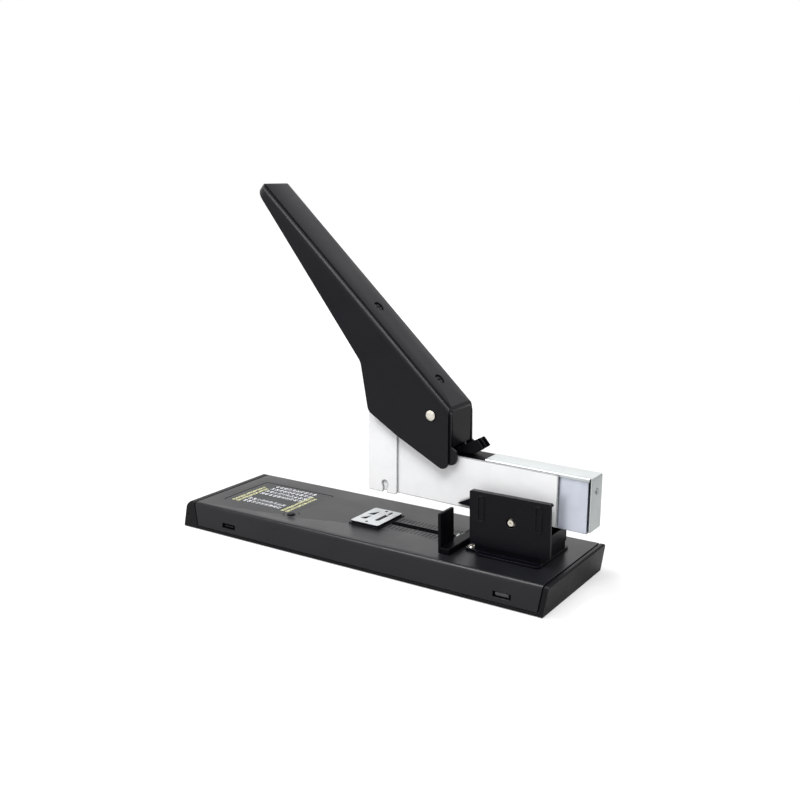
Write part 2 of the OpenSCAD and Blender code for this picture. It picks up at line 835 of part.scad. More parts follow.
// the slider runs in the slot and grips the shell from below
module stop_slider() {
  grip_top = plate_low - slide_gap;
  color(black_plastic)
  difference() {
    union() {
      rise_z(grip_top - fine_step, stop_low)
        slot_outline(key_half, stop_screw_x - 1.6 * key_half, stop_rear - fine_step);
      block([stop_screw_x - 2 * key_half, -3 * key_half, grip_top - shell_wall],
        [stop_rear, 3 * key_half, grip_top]);
    }
    bar_z(stop_screw_x, 0, screw_radius / 2 + snug_gap, grip_top - cut - shell_wall, stop_low + cut);
  }
}

module stop_screw() {
  seat = stop_low + 3 * fine_step;
  color(chrome)
  difference() {
    union() {
      bar_z(stop_screw_x, 0, screw_radius / 2, plate_low - slide_gap - shell_wall, seat + fine_step / 7);
      bar_z(stop_screw_x, 0, screw_radius, seat, seat + 2 * fine_step);
      bar_z(stop_screw_x, 0, screw_radius / 1.3, seat + fine_step, seat + 3 * fine_step);
    }
    block([stop_screw_x - 2 * screw_radius, -fine_step, seat + 2 * fine_step],
      [stop_screw_x + 2 * screw_radius, fine_step, seat + cut + 3 * fine_step]);
  }
}

// springs are one wire each, swept along points whose third number climbs the spring's axis
wire_sides = 6;
rings = 8;

function climb(radius, turns, height, start) =
  let (n = round(turns * rings))
  [for (i = [0:n]) [radius * cos(start - i * 2 * half_turn / rings),
    radius * sin(start - i * 2 * half_turn / rings), height * i / n]];
function wire_gap(path, wire) =
  min([for (i = [0:len(path) - rings - 1]) norm(path[i + rings] - path[i])]) - 2 * wire;
function across(path, i) =
  let (last = len(path) - 1, way = unit(flat(path[min(i + 1, last)] - path[max(i - 1, 0)])))
  [-way[1], way[0], 0];

module wire_along(path, wire) {
  n = len(path);
  points = [for (i = [0:n - 1]) for (k = [0:wire_sides - 1])
    path[i] + wire * (cos(2 * half_turn * k / wire_sides) * across(path, i)
      + sin(2 * half_turn * k / wire_sides) * [0, 0, 1])];
  walls = [for (i = [0:n - 2]) for (k = [0:wire_sides - 1])
    let (next = (k + 1) % wire_sides, here = i * wire_sides, there = here + wire_sides)
    each [[here + k, here + next, there + next], [here + k, there + next, there + k]]];
  start = [for (k = [0:wire_sides - 1]) wire_sides - 1 - k];
  end = [for (k = [0:wire_sides - 1]) (n - 1) * wire_sides + k];
  polyhedron(points, concat([start], walls, [end]), convexity = 6);
}

// the head's spring stands on the bracket's foot in front of the axle
spring_wire = axle_radius / 3.4;
head_coil = climb(2.1 * axle_radius, 6, carrier_low - foot_top - 2 * spring_wire - 2 * slide_gap, 0);
spring_x = axle_x - 4.8 * axle_radius;
echo("gap in the head spring", wire_gap(head_coil, spring_wire));

module head_spring() {
  color(plain_steel)
  translate([spring_x, 0, foot_top + spring_wire + snug_gap])
    wire_along(head_coil, spring_wire);
}

// an arm of the carrier in X and Z, written as shares of the half width of the housing
arm_shares = [[-4.43, 0.28, 0.02], [-3.49, 0.77, 0.1], [-2.42, 1.29, 0.1], [1.49, 1.29, 0.3]];
carrier_rivet_places = [[axle_x - 2.3 * housing_half, axle_z + 0.72 * housing_half],
  [axle_x + housing_half, axle_z + 0.72 * housing_half]];
carrier_rivet = axle_radius / 1.6;

module head_carrier() {
  arm_front = axle_x - 2 * housing_half;
  color(black_steel)
  on_head()
    difference() {
      union() {
        both_sides()
          across_y(carrier_inner, carrier_half)
            polygon(soft_path(concat(
              [for (s = arm_shares) [axle_x + s[0] * housing_half, axle_z + s[1] * housing_half,
                s[2] * housing_half]],
              [[axle_x + 1.49 * housing_half, carrier_low, carrier_wall],
                [arm_front, carrier_low, carrier_wall],
                [arm_front - housing_half, axle_z + 0.2 * housing_half, carrier_wall]])));
        block([arm_front + carrier_wall, -carrier_half + carrier_wall / 2, carrier_low],
          [axle_x + 1.2 * housing_half, carrier_half - carrier_wall / 2, carrier_low + carrier_wall]);
      }
      both_sides()
        bar_y(axle_x, axle_z, axle_radius + turn_play, carrier_inner - cut, carrier_half + cut);
      for (p = carrier_rivet_places)
        both_sides()
          bar_y(p[0], p[1], carrier_rivet + snug_gap, carrier_inner - cut, carrier_half + cut);
    }
}

module carrier_rivets() {
  color(plain_steel)
  on_head()
    both_sides()
      for (p = carrier_rivet_places) {
        bar_y(p[0], p[1], carrier_rivet, housing_inner + snug_gap, carrier_half + snug_gap);
        bar_y(p[0], p[1], 1.6 * carrier_rivet, carrier_half, carrier_half + fine_step);
        bar_y(p[0], p[1], 1.2 * carrier_rivet, carrier_half + fine_step / 2, carrier_half + 2 * fine_step);
      }
}

// two pins tie the housing's plates together behind the driver
cross_radius = 1.9;
tie_places = [[pivot_x - 0.67 * arm_len, housing_high + 1.9 * cross_radius],
  [pivot_x - 0.175 * arm_len, housing_high + 3.6 * cross_radius]];
boss_radius = lever_rise - lever_wall - 4.4 * fine_step;
latch_pin_radius = 1.5;

module housing_plates() {
  tower_rear = pivot_x + boss_radius;
  ear_rear = latch_x + 2.1 * latch_pin_radius;
  // the plates start where the sleeve's bends end
  plate_front = nose_x + nose_bend + snug_gap;
  color(chrome)
  on_head()
    difference() {
      both_sides()
        across_y(housing_inner, housing_half) {
          polygon(soft_path([[plate_front, housing_low, 0],
            [housing_rear, housing_low, 0], [housing_rear, housing_high, housing_wall],
            [ear_rear + housing_wall, housing_high, 2 * housing_wall],
            [ear_rear, latch_z + 3 * latch_pin_radius, latch_pin_radius],
            [tower_rear, pivot_z, 0], [pivot_x, pivot_z + boss_radius, 0],
            [pivot_x - boss_radius, tower_high, 0],
            [plate_front, tower_high, 0]]));
          translate([pivot_x, pivot_z])
            circle(boss_radius);
        }
      bar_y(pivot_x, pivot_z, rivet_radius + turn_play, -housing_half - cut, housing_half + cut);
      bar_y(latch_x, latch_z, latch_pin_radius + snug_gap, -housing_half - cut, housing_half + cut);
      for (p = tie_places)
        bar_y(p[0], p[1], cross_radius + snug_gap, -housing_half - cut, housing_half + cut);
      for (p = carrier_rivet_places)
        bar_y(p[0], p[1], carrier_rivet + snug_gap, -housing_half - cut, housing_half + cut);
    }
}

module cross_pins() {
  color(plain_steel)
  on_head()
    for (p = tie_places)
      bar_y(p[0], p[1], cross_radius, -housing_half, housing_half);
}

notch_x = nose_x + 0.59 * (seam_x - nose_x);
notch_radius = 2.3;
notch_z = nose_low + 2.6 * notch_radius;

module nose_sleeve() {
  color(chrome)
  on_head()
    difference() {
      intersection() {
        rise_z(nose_low, tower_high)
          difference() {
            polygon(soft_path([[nose_x, -sleeve_half, nose_bend], [seam_x, -sleeve_half, 0],
              [seam_x, sleeve_half, 0], [nose_x, sleeve_half, nose_bend]]));
            polygon(soft_path([
              [nose_x + sleeve_wall, -sleeve_inner, nose_bend - sleeve_wall],
              [seam_x + cut, -sleeve_inner, 0], [seam_x + cut, sleeve_inner, 0],
              [nose_x + sleeve_wall, sleeve_inner, nose_bend - sleeve_wall]]));
          }
        across_y(-sleeve_half - cut, sleeve_half + cut)
          polygon(soft_path([[nose_x - cut, nose_low, 0], [seam_x, nose_low, notch_radius],
            [seam_x, tower_high, notch_radius], [nose_x - cut, tower_high, 0]]));
      }
      across_y(-sleeve_half - cut, sleeve_half + cut) {
        translate([notch_x, notch_z])
          circle(notch_radius);
        polygon(soft_path([[notch_x - notch_radius, nose_low - cut, 0],
          [notch_x + notch_radius, nose_low - cut, 0],
          [notch_x + 0.6 * notch_radius, nose_low + 0.5 * notch_radius, fine_step],
          [notch_x + 0.6 * notch_radius, notch_z, 0],
          [notch_x - 0.6 * notch_radius, notch_z, 0],
          [notch_x - 0.6 * notch_radius, nose_low + 0.5 * notch_radius, fine_step]]));
      }
    }
}

// strips that fill the space between the staple channel and the housing
module channel_strips() {
  color(plain_steel)
  on_head()
    both_sides()
      block([seam_x, channel_outer + snug_gap / 2, housing_low],
        [housing_rear - 4 * housing_wall, housing_inner - snug_gap / 2, axle_z + 2 * housing_half]);
}

// the channel's two walls stand on both sides of its floor
module channel_walls() {
  color(chrome)
  on_head()
    difference() {
      both_sides()
        along_x(channel_front, channel_rear)
          polygon(soft_path([[channel_inner, channel_low, 0],
            [channel_outer, channel_low, 0.8 * channel_wall], [channel_outer, channel_high, 0],
            [channel_inner, channel_high, 0]]));
      block([channel_front - cut, -housing_inner, channel_high - 4.5 * fine_step],
        [block_rear + 2 * slide_gap, housing_inner, channel_high + cut]);
    }
}

module channel_floor() {
  color(chrome)
  on_head()
    block([channel_front, -channel_inner, channel_low],
      [channel_rear, channel_inner, channel_low + channel_wall]);
}

// the handle's spring winds round the rivet, with one leg on a cross pin
handle_wire = rivet_radius / 5.2;
handle_coil_radius = 2 * rivet_radius;
handle_coil_rise = 4.5 * handle_wire + 3 * fine_step;
handle_coil = climb(handle_coil_radius, 1.875, handle_coil_rise, half_turn);
handle_spring_path = concat([[-handle_coil_radius, -3.1 * handle_coil_radius, 0]], handle_coil,
  [[-3.6 * cos(quarter / 2) * handle_coil_radius, 1.6 * cos(quarter / 2) * handle_coil_radius,
    handle_coil_rise]]);
echo("gap in the handle spring", wire_gap(handle_coil, handle_wire));

module handle_spring() {
  color(plain_steel)
  on_head()
    translate([pivot_x, housing_inner - handle_wire - snug_gap, pivot_z])
      rotate([quarter, 0, 0])
        wire_along(handle_spring_path, handle_wire);
}

module latch_pin() {
  color(plain_steel)
  on_head()
    bar_y(latch_x, latch_z, latch_pin_radius, -housing_half, housing_half);
}

end_sheet = 2 * cover_sheet;
end_plate_half = channel_outer;

module magazine_cover() {
  color(chrome)
  on_head()
    difference() {
      union() {
        difference() {
          along_x(cover_front, cover_rear - 1.5 * end_sheet)
            polygon(soft_path([[-cover_half, flange_low, 0], [cover_half, flange_low, 0],
              [cover_half, cover_high, 2 * cover_sheet], [-cover_half, cover_high, 2 * cover_sheet]]));
          along_x(cover_front - cut, cover_rear + cut)
            polygon(soft_path([[cover_sheet - cover_half, flange_low - cut, 0],
              [cover_half - cover_sheet, flange_low - cut, 0],
              [cover_half - cover_sheet, cover_high - cover_sheet, cover_sheet],
              [cover_sheet - cover_half, cover_high - cover_sheet, cover_sheet]]));
        }
        across_y(-end_plate_half, end_plate_half)
          polygon(soft_path([[cover_rear - 6 * end_sheet, cover_high - cover_sheet, 0],
            [cover_rear - end_sheet, cover_high - cover_sheet, cover_sheet],
            [cover_rear - end_sheet, end_plate_low, 0], [cover_rear, end_plate_low, 0],
            [cover_rear, cover_high, 1.4 * end_sheet],
            [cover_rear - 6 * end_sheet, cover_high, 0]]));
      }
      bar_x(cover_rear - end_sheet - cut, cover_rear + cut, 0, rod_z, rod_radius + snug_gap);
    }
}

module cover_rivet() {
  color(plain_steel)
  on_head() {
    bar_x(cover_rear + snug_gap, cover_rear + fine_step, 0, rod_z, 1.2 * rod_radius);
    bar_x(cover_rear + fine_step, cover_rear + 2 * fine_step, 0, rod_z, 0.9 * rod_radius);
  }
}

module guide_rod() {
  color(plain_steel)
  on_head()
    bar_x(rod_front, cover_rear + snug_gap, 0, rod_z, rod_radius);
}

// the pusher's spring lies round the guide rod
pusher_wire = rod_radius / 3.6;
spring_front = pusher_front + pusher_len + pusher_wire + slide_gap;
spring_rear = cover_rear - end_sheet - pusher_wire - snug_gap;
pusher_coil = climb(1.85 * rod_radius, pusher_coils, spring_rear - spring_front, 0);
echo("gap in the pusher spring", wire_gap(pusher_coil, pusher_wire));

module pusher_spring() {
  color(plain_steel)
  on_head()
    translate([spring_front, 0, rod_z])
      rotate([0, quarter, 0])
        wire_along(pusher_coil, pusher_wire);
}

module staple_pusher() {
  pusher_half = channel_inner - slide_gap;
  front_wall = pusher_len / 4;
  color(black_plastic)
  on_head()
    difference() {
      across_y(-pusher_half, pusher_half)
        polygon(soft_path([[pusher_front, pusher_low, 0], [pusher_front + pusher_len, pusher_low, fine_step],
          [pusher_front + pusher_len, pusher_high, 2 * fine_step], [pusher_front, pusher_high, 0]]));
      block([pusher_front + front_wall, channel_wall * 2 - pusher_half, pusher_low + front_wall],
        [pusher_front + pusher_len + cut, pusher_half - channel_wall * 2, rod_z - 2.6 * rod_radius]);
      bar_x(pusher_front - cut, pusher_front + pusher_len + cut, 0, rod_z, rod_radius + turn_play);
    }
}

// a black block under the latch closes the top of the channel
module latch_seat() {
  color(black_plastic)
  on_head() {
    block([latch_x + 2 * latch_pin_radius, snug_gap - channel_inner, pusher_high + slide_gap],
      [cover_front - slide_gap, channel_inner - snug_gap, channel_high + snug_gap]);
    block([latch_x + 2 * latch_pin_radius, snug_gap - housing_inner, channel_high + snug_gap],
      [cover_front - slide_gap, housing_inner - snug_gap, housing_high + 2 * snug_gap]);
  }
}

// the latch in X and Z from its pin, as shares of its length
latch_shares = [[0.796, 0.275, 0.03], [0.983, 0.0625, 0.03], [0.746, -0.108, 0.06],
  [0.492, -0.14, 0.1], [0, -0.131, 0], [0, 0.131, 0], [0.23, -0.045, 0.08]];
tip_slot_shares = [[0.68, 0.29], [0.78, 0.39], [1.13, 0], [1.01, -0.08]];

module release_latch() {
  hub = 0.131 * latch_len;
  color(black_plastic)
  on_head()
    difference() {
      union() {
        across_y(-latch_half, latch_half)
          polygon(soft_path([for (s = latch_shares)
            [latch_x + s[0] * latch_len, latch_z + s[1] * latch_len, s[2] * latch_len]]));
        bar_y(latch_x, latch_z, hub, slide_gap - housing_inner, housing_inner - slide_gap);
      }
      bar_y(latch_x, latch_z, latch_pin_radius + turn_play, -housing_half, housing_half);
      both_sides()
        across_y(0.15 * latch_half, 0.82 * latch_half)
          polygon([for (s = tip_slot_shares) [latch_x, latch_z] + s * latch_len]);
    }
}

// outlines of the handle along and above its spine: at the tip the first of each point is a share
// of the handle's length, and all else is a share of the root's size
cover_tip_shares = [[0.842, 0.1053, 0], [0.9837, 0.0688, 0], [1.0074, 0.0682, 0.0195],
  [1, 0.0363, 0.008]];
cover_root_shares = [[0.3053, -0.08, 0.045], [0.172, -0.1814, 0.032], [0.0432, -0.1547, 0.08],
  [-0.1742, -0.0926, 0.0226], [0.0084, 0.1053, 0]];
tip_room_shares = [[0.842, 0.1053, 0], [0.9837, 0.064, 0], [0.998, 0.06, 0], [0.992, 0.03, 0],
  [0.985, -0.3, 0]];
root_room_shares = [[-0.3, -0.3, 0], [-0.3, 0.1053, 0]];
lever_shares = [[0.0005, 0.1053, 0], [0.4632, 0.1053, 0], [0.4632, -0.0263, 0.016],
  [0.3053, -0.0663, 0.045], [0.1737, -0.1658, 0.026], [0.0421, -0.1421, 0.08],
  [-0.1846, -0.0615, 0.0242], [-0.1435, -0.0177, 0.008], [-0.1199, -0.0233, 0.004]];
lever_room_shares = [[-0.1134, -0.0279], [-0.1192, -0.0225], [-0.1684, 0.0232],
  [-0.237, -0.0526], [-0.237, -0.237], [0.526, -0.237]];
screw_shares = [0.0816, 0.4084];
well_radius = 1.2 * rivet_head;
cover_hole = 1.1 * rivet_head;
cover_shank = 0.55 * rivet_radius;

function sized(shares, size) = [for (s = shares) s * size];
function tip_sized(shares) = [for (s = shares) [s[0] * handle_len, s[1] * root_size, s[2] * root_size]];

// section across the handle, with rounded upper edges
module handle_section(half, top, bend) {
  polygon(soft_path([[-half, -root_size, 0], [half, -root_size, 0], [half, top, bend],
    [-half, top, bend]]));
}

// outline of the handle seen square to its spine, with both corners of the tip rounded
module handle_plan(inset) {
  half = handle_half - inset;
  tip = 1.0074 * handle_len - inset;
  polygon(soft_path([[-root_size / 2, -half - cut, 0], [-root_size / 2, half + cut, 0],
    [0, half + cut, 0], [fine_step, half, 0], [tip, half, tip_radius - inset],
    [tip, -half, tip_radius - inset], [fine_step, -half, 0], [0, -half - cut, 0]]));
}

module handle_cover() {
  color(black_steel)
  on_handle()
    difference() {
      intersection() {
        across_y(-handle_half - cut, handle_half + cut)
          polygon(soft_path(concat(tip_sized(cover_tip_shares), sized(cover_root_shares, root_size))));
        along_x(-root_size / 2, handle_len + tip_radius)
          handle_section(handle_half, spine_rise, ridge_radius);
        rise_z(-root_size, root_size)
          handle_plan(0);
      }
      intersection() {
        across_y(-cover_inner, cover_inner)
          polygon(soft_path(concat(tip_sized(tip_room_shares), sized(root_room_shares, root_size))));
        along_x(-root_size / 2, handle_len)
          handle_section(cover_inner, spine_rise - handle_wall, ridge_radius - handle_wall);
        rise_z(-2 * root_size, root_size)
          handle_plan(handle_wall);
      }
      bar_y(0, 0, well_radius, -handle_half - cut, handle_half + cut);
      for (s = screw_shares)
        bar_z(s * root_size, 0, cover_hole, spine_rise - handle_wall - cut, spine_rise + cut);
    }
}

// slots that part the lever's tapering rear tongue from its cheeks, above the pivot
module tongue_gaps() {
  rotate([0, 0, half_turn])
    rotate([0, -handle_rest, 0])
      both_sides()
        along_x(arm_rise, arm_rise + 4 * lever_wall)
          polygon([[lever_inner, lever_wall], [0.97 * lever_inner, lever_wall],
            [0.86 * lever_inner, -0.088 * root_size], [0.76 * lever_inner, -0.1 * root_size],
            [lever_inner, -0.1 * root_size]]);
}

module handle_lever() {
  color(black_steel)
  on_handle()
    difference() {
      intersection() {
        across_y(-lever_outer - cut, lever_outer + cut)
          polygon(soft_path(sized(lever_shares, root_size)));
        along_x(-root_size / 2, root_size)
          handle_section(lever_outer, lever_rise, ridge_radius - handle_wall);
      }
      across_y(-lever_inner, lever_inner)
        polygon(concat([[root_size / 2, arm_rise], [-0.0382 * root_size, arm_rise]],
          sized(lever_room_shares, root_size)));
      tongue_gaps();
      bar_y(0, 0, rivet_radius + snug_gap, -lever_outer - cut, lever_outer + cut);
      for (s = screw_shares)
        bar_z(s * root_size, 0, cover_shank + snug_gap, arm_rise - cut, lever_rise + cut);
    }
}

// the push arm along and above the spine, as shares of its own length
push_shares = [[0.045, 0.2236, 0], [-0.1416, 0.0562, 0.067], [-0.1416, -0.0787, 0.045],
  [-0.054, -0.135, 0.067], [0.728, -0.355, 0.067], [0.906, -0.433, 0.022], [0.989, -0.396, 0.034],
  [0.966, -0.281, 0.034]];
collar_x = arm_len * cos(arm_fall);
collar_z = -arm_len * sin(arm_fall);
push_pin_radius = 0.4 * push_radius;

module push_arm() {
  color(plain_steel)
  on_handle()
    difference() {
      across_y(-arm_half, arm_half)
        polygon(soft_path(concat([[0.854 * arm_len, arm_rise, 0], [0.045 * arm_len, arm_rise, 0]],
          [for (i = [1:len(push_shares) - 1]) push_shares[i] * arm_len])));
      bar_y(0, 0, rivet_radius + snug_gap, -arm_half - cut, arm_half + cut);
      bar_y(collar_x, collar_z, push_pin_radius + snug_gap, -arm_half - cut, arm_half + cut);
      for (s = screw_shares)
        bar_z(s * root_size, 0, cover_shank + snug_gap, 0, arm_rise + cut);
    }
}

module push_collars() {
  color(plain_steel)
  on_handle()
    both_sides()
      difference() {
        bar_y(collar_x, collar_z, push_radius, arm_half + slide_gap, housing_inner - 3 * slide_gap);
        bar_y(collar_x, collar_z, push_pin_radius + snug_gap, arm_half - cut, housing_inner + cut);
      }
}

module push_pin() {
  color(plain_steel)
  on_handle()
    bar_y(collar_x, collar_z, push_pin_radius, 2 * slide_gap - housing_inner,
      housing_inner - 2 * slide_gap);
}

module pivot_rivet() {
  color(pin_cream)
  on_handle() {
    bar_y(0, 0, rivet_radius, -lever_outer - snug_gap, lever_outer + snug_gap);
    both_sides()
      intersection() {
        bar_y(0, 0, rivet_head, lever_outer + snug_gap, handle_half + 3 * fine_step);
        translate([0, handle_half + 2 * fine_step - 2 * rivet_head, 0])
          sphere(2.15 * rivet_head);
      }
  }
}

module cover_screws() {
  color(plain_steel)
  on_handle()
    for (s = screw_shares)
      translate([s * root_size, 0, 0])
        difference() {
          union() {
            bar_z(0, 0, cover_shank, arm_rise - 3 * cover_shank, lever_rise + snug_gap);
            bar_z(0, 0, cover_hole - 2 * fine_step, lever_rise + snug_gap, spine_rise - 2 * fine_step);
          }
          block([-cover_hole, -fine_step, spine_rise - 4 * fine_step],
            [cover_hole, fine_step, spine_rise]);
          block([-fine_step, -cover_hole, spine_rise - 4 * fine_step],
            [fine_step, cover_hole, spine_rise]);
        }
}

block_pin_y = 0.6 * blade_half;
block_pin_radius = blade_thick;

module driver_block() {
  color(plain_steel)
  on_head()
    difference() {
      across_y(slide_gap - housing_inner, housing_inner - slide_gap)
        polygon(soft_path([[blade_rear + snug_gap, block_top - block_high, 0],
          [block_rear, block_top - block_high, 2 * fine_step], [block_rear, block_top, 2 * fine_step],
          [blade_rear + snug_gap, block_top, 0]]));
      both_sides()
        bar_x(blade_rear - cut, block_rear + cut, block_pin_y, block_top - block_high / 2,
          block_pin_radius + snug_gap);
    }
}

module driver_blade() {
  color(plain_steel)
  on_head()
    difference() {
      block([blade_front, -blade_half, blade_low], [blade_rear, blade_half, block_top - fine_step]);
      both_sides()
        bar_x(blade_front - cut, blade_rear + cut, block_pin_y, block_top - block_high / 2,
          block_pin_radius + snug_gap);
    }
}

module block_pins() {
  color(plain_steel)
  on_head()
    both_sides()
      bar_x(blade_front, block_rear - fine_step, block_pin_y, block_top - block_high / 2,
        block_pin_radius);
}

base_shell();
base_tray();
front_cap();
rear_cap();
grip_pad();
stiffener_plate();
size_chart();
corner_plug();
anvil_seat();
anvil_plate();
anvil_rivets();
pedestal_bracket();
near_side_plate();
far_side_plate();
pedestal_screws();
axle_pins();
axle_collars();
paper_stop();
stop_slider();
stop_screw();
head_spring();
head_carrier();
carrier_rivets();
housing_plates();
nose_sleeve();
channel_strips();
channel_walls();
channel_floor();
cross_pins();
handle_spring();
latch_pin();
magazine_cover();
cover_rivet();
guide_rod();
pusher_spring();
staple_pusher();
latch_seat();
release_latch();
handle_cover();
handle_lever();
push_arm();
push_collars();
push_pin();
pivot_rivet();
cover_screws();
driver_block();
driver_blade();
block_pins();
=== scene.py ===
import json
import math

import bmesh
import bpy
import numpy as np
from mathutils import Matrix, Vector

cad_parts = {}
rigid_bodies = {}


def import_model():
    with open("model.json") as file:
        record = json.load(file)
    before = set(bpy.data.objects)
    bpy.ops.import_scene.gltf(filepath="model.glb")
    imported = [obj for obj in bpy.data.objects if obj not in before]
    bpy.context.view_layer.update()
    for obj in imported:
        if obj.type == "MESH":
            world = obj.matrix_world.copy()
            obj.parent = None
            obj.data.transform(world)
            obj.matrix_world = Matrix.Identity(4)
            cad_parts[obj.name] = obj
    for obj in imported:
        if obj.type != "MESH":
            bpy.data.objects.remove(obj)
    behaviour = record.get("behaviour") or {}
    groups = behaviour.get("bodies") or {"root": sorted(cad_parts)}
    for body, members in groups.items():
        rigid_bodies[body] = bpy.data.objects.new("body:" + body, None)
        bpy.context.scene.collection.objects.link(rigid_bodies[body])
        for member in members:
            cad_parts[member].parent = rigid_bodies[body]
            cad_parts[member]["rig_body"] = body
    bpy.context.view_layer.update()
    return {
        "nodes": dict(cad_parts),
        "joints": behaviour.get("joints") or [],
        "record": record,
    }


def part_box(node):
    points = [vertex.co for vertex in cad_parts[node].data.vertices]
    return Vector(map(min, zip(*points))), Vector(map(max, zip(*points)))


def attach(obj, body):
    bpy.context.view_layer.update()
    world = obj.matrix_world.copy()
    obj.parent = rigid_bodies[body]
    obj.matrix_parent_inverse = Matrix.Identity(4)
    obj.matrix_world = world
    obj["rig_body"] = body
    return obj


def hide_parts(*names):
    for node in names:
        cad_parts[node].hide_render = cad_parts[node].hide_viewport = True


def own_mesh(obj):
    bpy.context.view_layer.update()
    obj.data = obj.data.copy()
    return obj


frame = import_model()
nodes = frame["nodes"]
joints = {joint["name"]: joint for joint in frame["joints"]}
bodyOf = {name: nodes[name]["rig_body"] for name in nodes}
mm = 0.001

print("stage: frame loaded,", len(nodes), "nodes")


# The head leans nose up at rest, and its cover slides along that lean

slideAxis = Vector(joints["cover_slide"]["axis"])
headLean = math.atan2(-slideAxis.z, slideAxis.x)
axlePlace = Vector(joints["head_hinge"]["pos_m"])
pivotPlace = Vector(joints["handle_hinge"]["pos_m"])
headTurn = Matrix.Rotation(headLean, 4, "Y")
headPlace = Matrix.Translation(axlePlace) @ headTurn @ Matrix.Translation(-axlePlace)


# Camera: stands off the near side, towards the rear end, and looks slightly down

cameraView = {
    "azimuth": 34.43,  # degrees round from straight in front
    "elevation": 12.70,
    "roll": -0.80,
    "distance": 0.6251,
    "target": (0.0143, 0.0, 0.1040),
    "lens": 43.857,
    "sensor": 36.0,
    "clip": (0.01, 50.0),
}


def addCamera(view):
    # back is (sin a cos e, -cos a cos e, sin e), and right and up are turned about it by the roll
    a, e, r = (math.radians(view[k]) for k in ("azimuth", "elevation", "roll"))
    back = Vector((math.sin(a) * math.cos(e), -math.cos(a) * math.cos(e), math.sin(e)))
    right = Vector((0, 0, 1)).cross(back).normalized()
    up = back.cross(right)
    right, up = (right * math.cos(r) + up * math.sin(r), up * math.cos(r) - right * math.sin(r))
    camera = bpy.data.objects.new("camera", bpy.data.cameras.new("camera"))
    bpy.context.scene.collection.objects.link(camera)
    place = Vector(view["target"]) + back * view["distance"]
    turn = Matrix((right, up, back)).transposed().to_4x4()
    camera.matrix_world = Matrix.Translation(place) @ turn
    camera.data.lens = view["lens"]
    camera.data.sensor_width = view["sensor"]
    camera.data.clip_start, camera.data.clip_end = view["clip"]
    bpy.context.scene.camera = camera


addCamera(cameraView)


# Node helpers for the materials

def addNode(tree, kind, settings=None, **sockets):
    # a node with its settings, and a value or a link for each socket, by name or as i0, i1, i2
    node = tree.nodes.new(kind)
    for key, value in (settings or {}).items():
        setattr(node, key, value)
    for key, value in sockets.items():
        index = int(key[1:]) if key[0] == "i" and key[1:].isdigit() else key.replace("_", " ")
        socket = node.inputs[index]
        if isinstance(value, bpy.types.NodeSocket):
            tree.links.new(value, socket)
        else:
            socket.default_value = value
    return node


def objectPlace(tree):
    # where a point lies on its own piece, so that a pattern moves with it
    return addNode(tree, "ShaderNodeTexCoord").outputs["Object"]


def stretched(tree, place, scale):
    # a place drawn out along the axes whose scale is small
    return addNode(tree, "ShaderNodeMapping", Vector=place, Scale=scale).outputs[0]


def noiseOf(tree, place, scale, detail=3.0, rough=0.55, distortion=0.0):
    # a noise round 0.5; the scale is in patches to a metre
    return addNode(tree, "ShaderNodeTexNoise", Vector=place, Scale=scale, Detail=detail,
                   Roughness=rough, Distortion=distortion).outputs["Fac"]


def spanOf(tree, value, low, high, outLow, outHigh, smooth=False):
    # what lies from low to high runs from outLow to outHigh, and stays there outside
    kind = {"interpolation_type": "SMOOTHSTEP"} if smooth else None
    return addNode(tree, "ShaderNodeMapRange", kind, Value=value, From_Min=low, From_Max=high,
                   To_Min=outLow, To_Max=outHigh).outputs[0]


def mathOf(tree, operation, a, b=0.0, clamp=False):
    # one step of arithmetic on two values
    settings = {"operation": operation, "use_clamp": clamp}
    return addNode(tree, "ShaderNodeMath", settings, i0=a, i1=b).outputs[0]


def mixOf(tree, share, a, b):
    # color a where the share is 0, color b where it is 1
    node = addNode(tree, "ShaderNodeMix", {"data_type": "RGBA"})
    for index, value in ((0, share), (6, a), (7, b)):
        if isinstance(value, bpy.types.NodeSocket):
            tree.links.new(value, node.inputs[index])
        else:
            node.inputs[index].default_value = value if isinstance(value, float) else (*value, 1.0)
    return node.outputs[2]


def bumpOf(tree, height, strength, distance, normal=None):
    # a normal leaned by a height, over the normal that it is given
    node = addNode(tree, "ShaderNodeBump", Height=height, Strength=strength, Distance=distance)
    if normal is not None:
        tree.links.new(normal, node.inputs["Normal"])
    return node.outputs[0]


seamSense = {
    "bevelSamples": 6, "lean": (0.86, 0.99),  # cosines between the rounded normal and the true one
    "openSamples": 8, "open": (0.25, 0.8),  # how much of its surroundings a point sees
    "dust": 1.2 * mm, "dustKeeps": 0.1,  # reach of the dust in a seam, and the gloss that it leaves
}


def edgeNormal(tree, radius):
    # the normal as if the piece's edges were rounded by a radius
    settings = {"samples": seamSense["bevelSamples"]}
    return addNode(tree, "ShaderNodeBevel", settings, Radius=radius).outputs[0]


def edgeShare(tree, radius):
    # 0 on flats and 1 on sharp edges: how far the rounded normal leans from the true one
    true = addNode(tree, "ShaderNodeNewGeometry").outputs["Normal"]
    lean = addNode(tree, "ShaderNodeVectorMath", {"operation": "DOT_PRODUCT"},
                   i0=edgeNormal(tree, radius), i1=true).outputs["Value"]
    return spanOf(tree, lean, *seamSense["lean"], 1.0, 0.0)


def creviceShare(tree, reach):
    # 1 deep in seams and corners, 0 in the open
    settings = {"samples": seamSense["openSamples"]}
    seen = addNode(tree, "ShaderNodeAmbientOcclusion", settings, Distance=reach).outputs["AO"]
    return spanOf(tree, seen, *seamSense["open"], 1.0, 0.0)


def dustyGloss(tree, gloss):
    # dust takes the gloss off the seams
    dust = creviceShare(tree, seamSense["dust"])
    return spanOf(tree, dust, 0.0, 1.0, gloss, seamSense["dustKeeps"] * gloss)


